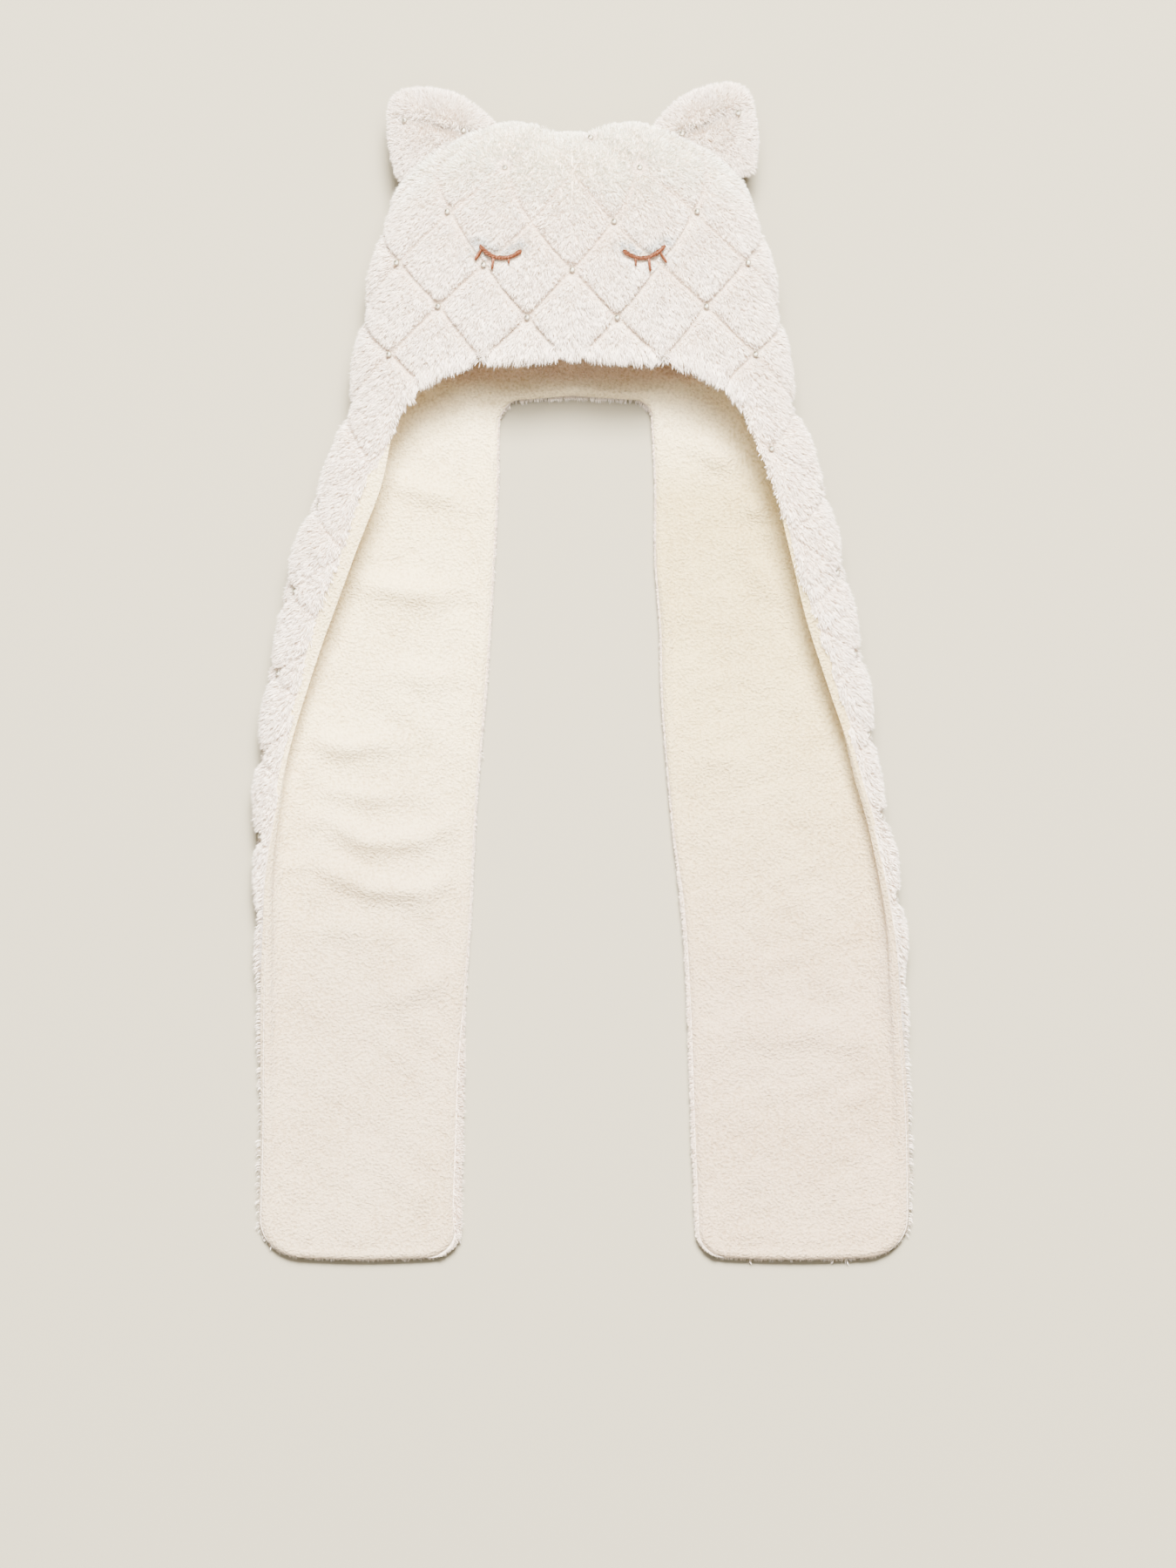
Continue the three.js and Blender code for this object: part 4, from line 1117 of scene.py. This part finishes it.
def pile(name, roots, normals, lean, lengths, colours, rng):
    """A joined mesh of bent blades, each widest at its middle."""
    count = len(roots)
    pull, tuft = clump_pull(roots, rng)
    tufts = tuft.max() + 1
    lean = lean + rng.normal(0, BLADE_SPREAD, (count, 3))
    lean = lean + rng.normal(0, TUFT_SPREAD, (tufts, 3))[tuft]
    lean = lean - normals * (lean * normals).sum(1, keepdims=True)
    start = unit(normals + 0.5 * lean)
    finish = unit(0.6 * normals + lean)
    length = (lengths * rng.uniform(0.75, 1.15, count))[:, None]
    low = roots - normals * PILE_ROOT
    middle = roots + start * length * 0.5 + 0.25 * pull
    tip = middle + finish * length * 0.5 + 0.5 * pull
    facing = unit(normals + rng.normal(0, FACING_SPREAD, (count, 3)))
    width = unit(np.cross(start, facing)) * (PILE_WIDTH * rng.uniform(0.7, 1.3, count))[:, None]
    points = np.stack([low, middle - width, middle + width, tip], 1)
    points[:, :, 2] = np.maximum(points[:, :, 2], BLADE_CLEARANCE)
    base = np.arange(count)[:, None] * 4
    faces = np.concatenate([base + [0, 2, 1], base + [1, 2, 3]], 1).reshape(-1, 3)
    obj = mesh_object(name, points.reshape(-1, 3), faces, PILE)
    share = np.array(BLADE_SHADES)[None, :, None]
    brightness = rng.uniform(*BLADE_LIGHT, count) * rng.uniform(*TUFT_LIGHT, tufts)[tuft]
    root = np.array(PILE_BASE) / PILE_TIP
    colours = np.clip(colours, 0, LIGHTEST_PILE)
    colour_with_painted_shade_and_light = colours[:, None, :] * (root + (1 - root) * share) * brightness[:, None, None]
    # Each blade's colour, with the painted shade and light worked out for it, runs from root to tip
    set_colours(obj, "colour_with_painted_shade_and_light", np.minimum(colour_with_painted_shade_and_light, LIGHTEST_BLADE).reshape(-1, 3))


def nearest_offsets(roots, places):
    """Vector from the nearest place to each root."""
    tree = kd_tree(places)
    return roots - np.array([tuple(tree.find(root)[0]) for root in roots])


def shade_near(roots, places, darkness, reach):
    """Painted shade: a factor that darkens each root towards the nearest place."""
    near = np.linalg.norm(nearest_offsets(roots, places), axis=1)
    return 1 - darkness * bell(near, reach)


def part_pile(roots, lengths, lean, places, radius):
    """Shorter blades that lean away from something sewn on."""
    away = nearest_offsets(roots, places)
    d = np.linalg.norm(away, axis=1)
    lengths = lengths * (0.1 + 0.9 * smooth((d - 0.2 * radius) / radius))
    return lengths, lean + unit(away) * (AWAY_LEAN * bell(d, radius))[:, None]


def soft_tint(u, v, seed):
    """Patches of warmer and cooler white."""
    return 1 + unevenness(u, v, seed)[:, None] * np.array(TINT)


def pile_places(u, v, edge):
    """Each root's distance to the quilting, and how far it is on the hood, at the edge and quilted."""
    to_line = np.abs(line_offsets(u, v)[0])
    is_quilted = 1 - CROWN_PLAINNESS * crown_share(v)
    return to_line, rise(v, *HOOD_BLEND), 1 - rise(edge, *FRINGE_BLEND), is_quilted


def lay_of_pile(side, n, u, v, edge):
    """Lengths and leans of the blades: combed down, parted at the quilting, long at the edge."""
    to_line, on_hood, near_edge, is_quilted = pile_places(u, v, edge)
    off, is_a = line_offsets(u, v)
    across, along = tangents_at(side, u, v)
    away = np.sign(off)[:, None] * unit(across + np.where(is_a, 1, -1)[:, None] * along)
    fringe = near_edge * (v > HEM_ROW)
    combed = (COMBED - CROWN_UNCOMBED * rise(v, *CROWN_BLEND) + FRINGE_COMBED * fringe)[:, None]
    parting = (TAIL_PARTING + HOOD_PARTING * on_hood) * bell(to_line, PARTING_WIDTH) * is_quilted
    lean = SIDEWAYS * across - combed * along + away * parting[:, None]
    shortest = np.maximum(1 - (TAIL_CUT + HOOD_CUT * on_hood) * is_quilted, 0.9 * near_edge)
    lengths = PILE_LENGTH * (shortest + (1 - shortest) * smooth(to_line / CUT_WIDTH))
    trim = TRIMMED_SHARE + (1 - TRIMMED_SHARE) * smooth(edge / TRIM_WIDTH)
    crest = rise(n[:, 1], *CREST_SLOPES) * rise(v, *CREST_ROWS)
    lengths = lengths * np.where(v > HEM_ROW, 1 + FRINGE_LENGTHENING * near_edge, trim)
    return lengths * (1 - CREST_SHORTENING * crest), lean, fringe


def pile_colours(side, roots, u, v, edge, pearls_at, eye_at):
    """Colours of the blades: painted shade at quilting, pearls and eyes, and painted light on the crown.
    """
    to_line, on_hood, near_edge, is_quilted = pile_places(u, v, edge)
    colours = np.array(PILE_TIP) * soft_tint(u, v, TINT_SEED + side)
    # Painted light: lighter pile towards the crown
    colours = colours * (1 + CROWN_PAINTED_LIGHT * crown_share(v))[:, None]
    line_shade = bell(to_line, LINE_SHADE_WIDTH) * (0.2 + 0.8 * on_hood) * (1 - near_edge) * is_quilted
    colours = colours * (1 - line_shade[:, None] * np.array(LINE_SHADE))
    colours = colours * shade_near(roots, pearls_at, *PILE_PEARL_SHADE)[:, None]
    # Painted shade over each eye, just above its arc
    from_eye = nearest_offsets(roots, eye_at)
    lid_painted_shade = np.exp(-(((from_eye[:, 1] - LID_RISE) / LID_HEIGHT) ** 2) - (from_eye[:, 0] / LID_WIDTH) ** 2)
    return colours * (1 - lid_painted_shade[:, None] * np.array(LID_SHADE))


def shell_pile(shell, names, counts, pearls_at, eye_at, rng):
    """Pile of one half: a piece on the hood and one on the tail."""
    side, flat, triangles, points = (shell[k] for k in ("side", "flat", "triangles", "points"))
    normals = vertex_normals(points, turned(triangles, side))
    is_hidden = (normals[:, 2] < DOWNWARD) & (shell["distance"] > DENSE_RIM)
    weights = np.where(shell["strip"], 0, np.where(is_hidden, FLOOR_SHARE, 1.0))
    face_weights = weights[triangles].mean(1)
    above = flat[triangles].mean(1)[:, 1] > PILE_SPLIT
    for name, count, share in zip(names, counts, (above, ~above)):
        corners, mix = surface_samples(points, triangles, face_weights * share, count, rng)
        roots = blended(points, corners, mix)
        n = unit(blended(normals, corners, mix))
        u, v = blended(flat, corners, mix).T
        edge = (shell["distance"][corners] * mix).sum(1)
        whole, lean, fringe = lay_of_pile(side, n, u, v, edge)
        lengths, lean = part_pile(roots, whole, lean, pearls_at, PEARL_PARTING)
        lengths = np.maximum(lengths, 0.9 * whole * fringe)
        lengths, lean = part_pile(roots, lengths, lean, eye_at, EYE_PARTING)
        lengths = np.where(n[:, 2] < PRESSED_SLOPE, lengths * PRESSED_LENGTH, lengths)
        colours = pile_colours(side, roots, u, v, edge, pearls_at, eye_at)
        pile(name, roots, n, lean, lengths, colours, rng)


def edge_pile(side, name, rng):
    """Pile that shows past the lining at the inner corner and edge of a tail."""
    free, _ = pattern_lines(side, 1, False)
    end = float(row_at(side, -TAIL_LENGTH))
    first = int(np.argmax(free[:, 1] < end + OUTER_END_RADIUS))
    line = free[first:][free[first:, 1] < -0.5 * NECK_CORNER_RADIUS]
    tangents = unit(np.gradient(line, axis=0))
    is_inner = tangents[:, 1] > 0.3
    line, tangents = line[is_inner], tangents[is_inner]
    chosen = rng.integers(0, len(line), EDGE_BLADES)
    out = np.stack([tangents[:, 1], -tangents[:, 0]], 1)[chosen]
    inset = 1 + (by_level(INNER_INSET, side, line[chosen, 1]) - 1) * np.clip(out[:, 0], 0, 1)
    along_edge = tangents[chosen] * rng.uniform(-EDGE_SPREAD, EDGE_SPREAD, (EDGE_BLADES, 1))
    u, v = (line[chosen] + along_edge - out * (inset * rng.random(EDGE_BLADES))[:, None]).T
    roots = wrap(side, u, v, np.zeros(EDGE_BLADES))
    upward = normals_at(side, u, v) * np.array([-side, -1, -1])
    across, along = tangents_at(side, u, v)
    lean = 0.9 * out[:, :1] * across + 0.4 * out[:, 1:] * along - 0.2 * along
    lengths = PILE_LENGTH * (EDGE_SHORTEST + EDGE_LENGTHENING * smooth(inset / WIDE_INSET))
    # Painted shade on the edge pile, more at the tail's end where the blades lean away from the light
    colours = np.array(PILE_TIP) * soft_tint(u, v, TINT_SEED + side) * EDGE_SHADE
    colours = colours * (1 - END_SHADE * np.clip(-out[:, 1:], 0, 1))
    pile(name, roots, upward, lean, lengths, colours, rng)


# Ears


def ear_piece(side, name, hood_tree):
    """Padded ear with its stitched crease, cut off inside the hood."""
    corners = [(x * EAR_WIDTH, y * EAR_HEIGHT) for x, y in EAR_OUTLINE + EAR_OUTLINE[:1]]
    outline = resampled(spline(corners, 10), EAR_STEP)[:-1]
    flat, triangles, distance = flat_mesh(outline, np.vstack([outline, outline[:1]]), EAR_STEP)
    x, y = flat.T
    half = EAR_THICKNESS / 2 * rim(distance, EAR_ROUNDING)
    crease_line = y - CREASE_BEND * np.sin(x / EAR_WIDTH * 5)
    crease = bell(crease_line, CREASE_WIDTH) * smooth(distance / 6)
    fold = ridge(crease_line, *EAR_FOLD) * smooth(distance / 8)
    swelling = EAR_SWELLING * unevenness(x * 1.5, y * 1.5, EAR_SEED + side) * smooth(distance / 8)
    top = half - CREASE_DEPTH * crease + fold + swelling
    bottom = -half + BACK_CREASE_DEPTH * crease
    tilt = side * EAR_TILTS[side]
    cos, sin = math.cos(tilt), math.sin(tilt)

    def place(height):
        px = side * x * cos - y * sin + side * EAR_SPACING / 2 + ROW_X
        py = side * x * sin + y * cos + EAR_LEVEL + ROW_Y
        return np.stack([px, py, height + BACK_HEIGHT + CROWN_LIFT], 1)

    faces = turned(triangles, side)
    points = np.vstack([place(top), place(bottom)])
    below = np.arange(len(x)) + len(x)
    edge = np.unique(boundary(triangles))
    below[edge] = edge
    faces = np.vstack([faces, below[faces[:, ::-1]]])
    crease_at = points[: len(x)][(np.abs(crease_line) < 1.2) & (distance > 5)]
    depth = np.array([depth_inside(hood_tree, p) for p in points])
    faces = faces[~(depth[faces] > HIDDEN_DEPTH).all(axis=1)]
    used, kept = np.unique(faces, return_inverse=True)
    obj = mesh_object(name, points[used], kept.reshape(-1, 3), FUR)
    # The ear's plush is darkened evenly through the attribute that carries the plush's painted shade
    set_colours(obj, "plush_painted_shade", np.full((len(used), 3), EAR_SHADE))
    return obj, (points, faces, depth, crease_at)


def depth_inside(tree, point):
    found, normal, _, _ = tree.find_nearest(Vector(point))
    return float((found - Vector(point)).dot(normal))


def ear_pile(side, name, ear, pearls_at, rng):
    """Pile of an ear, parted at its crease and round its pearls."""
    points, faces, depth, crease_at = ear
    normals = vertex_normals(points, faces)
    weights = np.where(depth > BURIED_DEPTH, 0.0, 1.0)[faces].mean(1)
    weights = weights * np.where(normals[faces].mean(1)[:, 2] < PRESSED_SLOPE, 0.7, 1.0)
    corners, mix = surface_samples(points, faces, weights, EAR_BLADES, rng)
    roots = blended(points, corners, mix)
    n = unit(blended(normals, corners, mix))
    centre = np.array([side * EAR_SPACING / 2 + ROW_X, EAR_LEVEL + ROW_Y, BACK_HEIGHT + CROWN_LIFT])
    lean = EAR_LEAN * unit(roots - centre)
    lengths = np.full(EAR_BLADES, PILE_LENGTH * EAR_PILE_SHARE)
    lengths, lean = part_pile(roots, lengths, lean, pearls_at, PEARL_PARTING)
    lengths, lean = part_pile(roots, lengths, lean, crease_at, CREASE_PARTING)
    colours = np.array(PILE_TIP) * soft_tint(*roots[:, :2].T, EAR_TINT_SEED + side)
    # Painted shade in the ear's crease and round its pearls
    colours = colours * shade_near(roots, crease_at, *PILE_CREASE_SHADE)[:, None]
    colours = colours * shade_near(roots, pearls_at, *PILE_PEARL_SHADE)[:, None]
    pile(name, roots, n, lean, lengths, colours, rng)


# Eyes


def thread_places(side, points):
    """Where a thread lies on the fur, for points of flat fabric."""
    u, v = np.array(points, float).T
    loft = quilt_loft(u, v)
    return wrap(side, u, v, np.maximum(averaged(loft, 5), loft) + EYE_HEIGHT)


def frame_along(path):
    """Directions across and over a path."""
    tangents = unit(np.gradient(path, axis=0))
    across = unit(np.cross(tangents, [0, 0, 1]))
    return across, np.cross(across, tangents)


def tube(path, radii, sides=7):
    """Points and triangles of a round thread along a path, closed at both ends."""
    across, over = frame_along(path)
    angles = np.linspace(0, 2 * math.pi, sides, endpoint=False)[None, :, None]
    ring = np.cos(angles) * across[:, None] + np.sin(angles) * over[:, None]
    points = path[:, None] + ring * radii[:, None, None]
    last = (len(path) - 1) * sides
    faces = []
    for i in range(0, last, sides):
        for k in range(sides):
            a, b = i + k, i + (k + 1) % sides
            faces += [(a, b, b + sides), (a, b + sides, a + sides)]
    faces += [(0, k + 1, k) for k in range(1, sides - 1)]
    faces += [(last + k, last + k + 1, last) for k in range(1, sides - 1)]
    return points.reshape(-1, 3), np.array(faces)


def eye_piece(side, name):
    """Closed eye of twisted thread, with its lashes."""

    def on_arc(along):
        sag = EYE_DROP * (1 - abs(along) ** ARC_FULLNESS)
        return EYE_SPACING / 2 + along * (EYE_WIDTH / 2), EYE_LEVEL - sag

    along = np.linspace(-1, 1, 61)
    line = thread_places(side, [on_arc(a) for a in along])
    line[:, 2] = averaged(line[:, 2], 9)
    across, over = frame_along(line)
    parts = []
    for strand in range(3):
        angle = along * EYE_TWIST + strand * 2 * math.pi / 3
        winding = np.cos(angle)[:, None] * across + np.sin(angle)[:, None] * over
        spread = STRAND_SPREAD + 0.2 * np.cos(along * 9 + strand)
        taper = np.clip(9 * (1.02 - np.abs(along)), 0.4, 1)
        radii = (STRAND_RADIUS + 0.16 * np.abs(along) + 0.1 * np.sin(along * 13 + strand)) * taper
        parts.append(tube(line + spread[:, None] * winding, radii))
    for place, length, lean, thick in LASHES[side]:
        x, y = on_arc(place)
        reach = length * EYE_WIDTH
        shares = np.linspace(-0.05, 1, len(LASH_PROFILE))
        lash = thread_places(side, [(x + reach * s * lean, y - reach * s) for s in shares])
        parts.append(tube(lash, LASH_RADIUS * thick**0.5 * np.array(LASH_PROFILE)))
    points, faces = joined(parts)
    return mesh_object(name, points, turned(faces, side), THREAD), points


def pearl_colours_with_painted_shade(ball, rng):
    """Nacre with painted shade and reflection at the foot, and painted shade in the thread's drilled
    hole.
    """
    nacre, painted_foot = np.array(NACRE), np.array(PEARL_FOOT_PAINTED_SHADE)
    share = rise(ball[:, 2], *FOOT_RISE)[:, None]
    hole = unit(np.array([[rng.normal(-0.3, 0.15), rng.normal(0.3, 0.15), 0.8]]))[0]
    drilled = rise((ball * hole).sum(1), *HOLE_RISE)[:, None]
    return (painted_foot + (nacre - painted_foot) * share) * (1 - HOLE_SHADE * drilled)


def ball_mesh(rings, sides):
    """Points and triangles of a ball of radius one."""
    latitudes = np.linspace(0, math.pi, rings + 1)[1:-1]
    longitudes = np.linspace(0, 2 * math.pi, sides, endpoint=False)
    points = [[0, 0, 1]]
    points += [[math.sin(a) * math.cos(b), math.sin(a) * math.sin(b), math.cos(a)]
               for a in latitudes for b in longitudes]
    points.append([0, 0, -1])
    last = len(points) - 1
    faces = []
    for k in range(sides):
        faces.append((0, 1 + k, 1 + (k + 1) % sides))
        faces.append((last, last - sides + (k + 1) % sides, last - sides + k))
    for i in range(rings - 2):
        for k in range(sides):
            a, b = 1 + i * sides + k, 1 + i * sides + (k + 1) % sides
            faces += [(a, a + sides, b + sides), (a, b + sides, b)]
    return np.array(points), np.array(faces)


def pearls_piece(nodes):
    """Every pearl in one piece, each where its solid is."""
    ball, shell = ball_mesh(12, 18)
    rng = np.random.default_rng(PEARL_SEED)
    centres, parts, shades = [], [], []
    for node in nodes:
        lo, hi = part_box(node)
        centre = np.array((lo + hi) / 2) / MM
        centres.append(centre)
        parts.append((centre + ball * (hi.x - lo.x) / MM / 2, shell))
        shades.append(pearl_colours_with_painted_shade(ball, rng))
    obj = mesh_object("pearls", *joined(parts), PEARL)
    # Nacre colours with the painted shade of each pearl's foot and hole
    set_colours(obj, "colour_with_painted_shade_and_light", np.vstack(shades))
    return obj, np.array(centres)


# Build

BEADS = sorted(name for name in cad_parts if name.startswith("bead_"))
pearls, pearl_centres = pearls_piece(BEADS)
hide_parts(*BEADS)

shells = {}
eye_points = {}
for side, word in ((-1, "left"), (1, "right")):
    fur, shell = fur_shell(side, f"{word}_quilted_fur", pearl_centres)
    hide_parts(f"{word}_fur")
    shells[side] = shell
    lining, extent, area = lining_sheet(side, f"{word}_fleece")
    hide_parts(f"{word}_lining")
    eye, eye_points[side] = eye_piece(side, f"{word}_closed_eye")
    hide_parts(f"{word}_eye")

hood_points, hood_faces = joined([
    (shells[side]["points"], turned(shells[side]["triangles"], side)) for side in (-1, 1)
])
hood_tree = BVHTree.FromPolygons([Vector(p) for p in hood_points], hood_faces.tolist())

for side, word in ((-1, "left"), (1, "right")):
    rng = np.random.default_rng(PILE_SEED + side)
    ear, ear_shape = ear_piece(side, f"{word}_padded_ear", hood_tree)
    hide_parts(f"{word}_ear")
    shell_pile(shells[side], (f"{word}_hood_pile", f"{word}_tail_pile"),
               (HOOD_BLADES, TAIL_BLADES), pearl_centres, eye_points[side], rng)
    ear_pile(side, f"{word}_ear_pile", ear_shape, pearl_centres, rng)
    edge_pile(side, f"{word}_edge_pile", rng)


# Floor, light and camera


def floor():
    mesh = bpy.data.meshes.new("floor")
    mesh.from_pydata([(-6, -6, 0), (6, -6, 0), (6, 6, 0), (-6, 6, 0)], [], [(0, 1, 2, 3)])
    mesh.materials.append(floor_material())
    linked("floor", mesh)


def light(name, kind, place, power):
    """A light that shines from a place, or along its direction, at the middle of the floor."""
    data = bpy.data.lights.new(name, kind)
    data.energy = power
    obj = linked(name, data)
    obj.rotation_mode = "QUATERNION"
    obj.rotation_quaternion = (-Vector(place)).to_track_quat("-Z", "Y")
    return obj


def soft_light(name, place, size, power, colour):
    obj = light(name, "AREA", place, power)
    obj.location = place
    obj.data.shape = "SQUARE"
    obj.data.size = size
    obj.data.color = colour


def daylight(towards, strength, spread):
    light("daylight", "SUN", towards, strength).data.angle = spread


def sky():
    world = bpy.data.worlds.new("studio")
    world.use_nodes = True
    background = world.node_tree.nodes["Background"].inputs
    background["Color"].default_value = (1, 0.99, 0.97, 1)
    background["Strength"].default_value = 0.42
    bpy.context.scene.world = world


def camera():
    """Camera straight above, at the middle of the photograph's frame."""
    data = bpy.data.cameras.new("camera")
    data.lens = CAMERA_LENS
    data.clip_end = 50
    obj = linked("camera", data)
    obj.location = ((FRAME_X + ROW_X) * MM, (FRAME_Y + ROW_Y) * MM, CAMERA_HEIGHT)
    bpy.context.scene.camera = obj


floor()
sky()
soft_light("key", (0.1, 1.33, 2.53), 1.1, 302, (1, 0.99, 0.975))
soft_light("overhead", (-0.3, -0.2, 3.8), 2.6, 70, (0.98, 0.99, 1))
daylight((0.05, 0.49, 0.875), 17.2, math.radians(16))
camera()
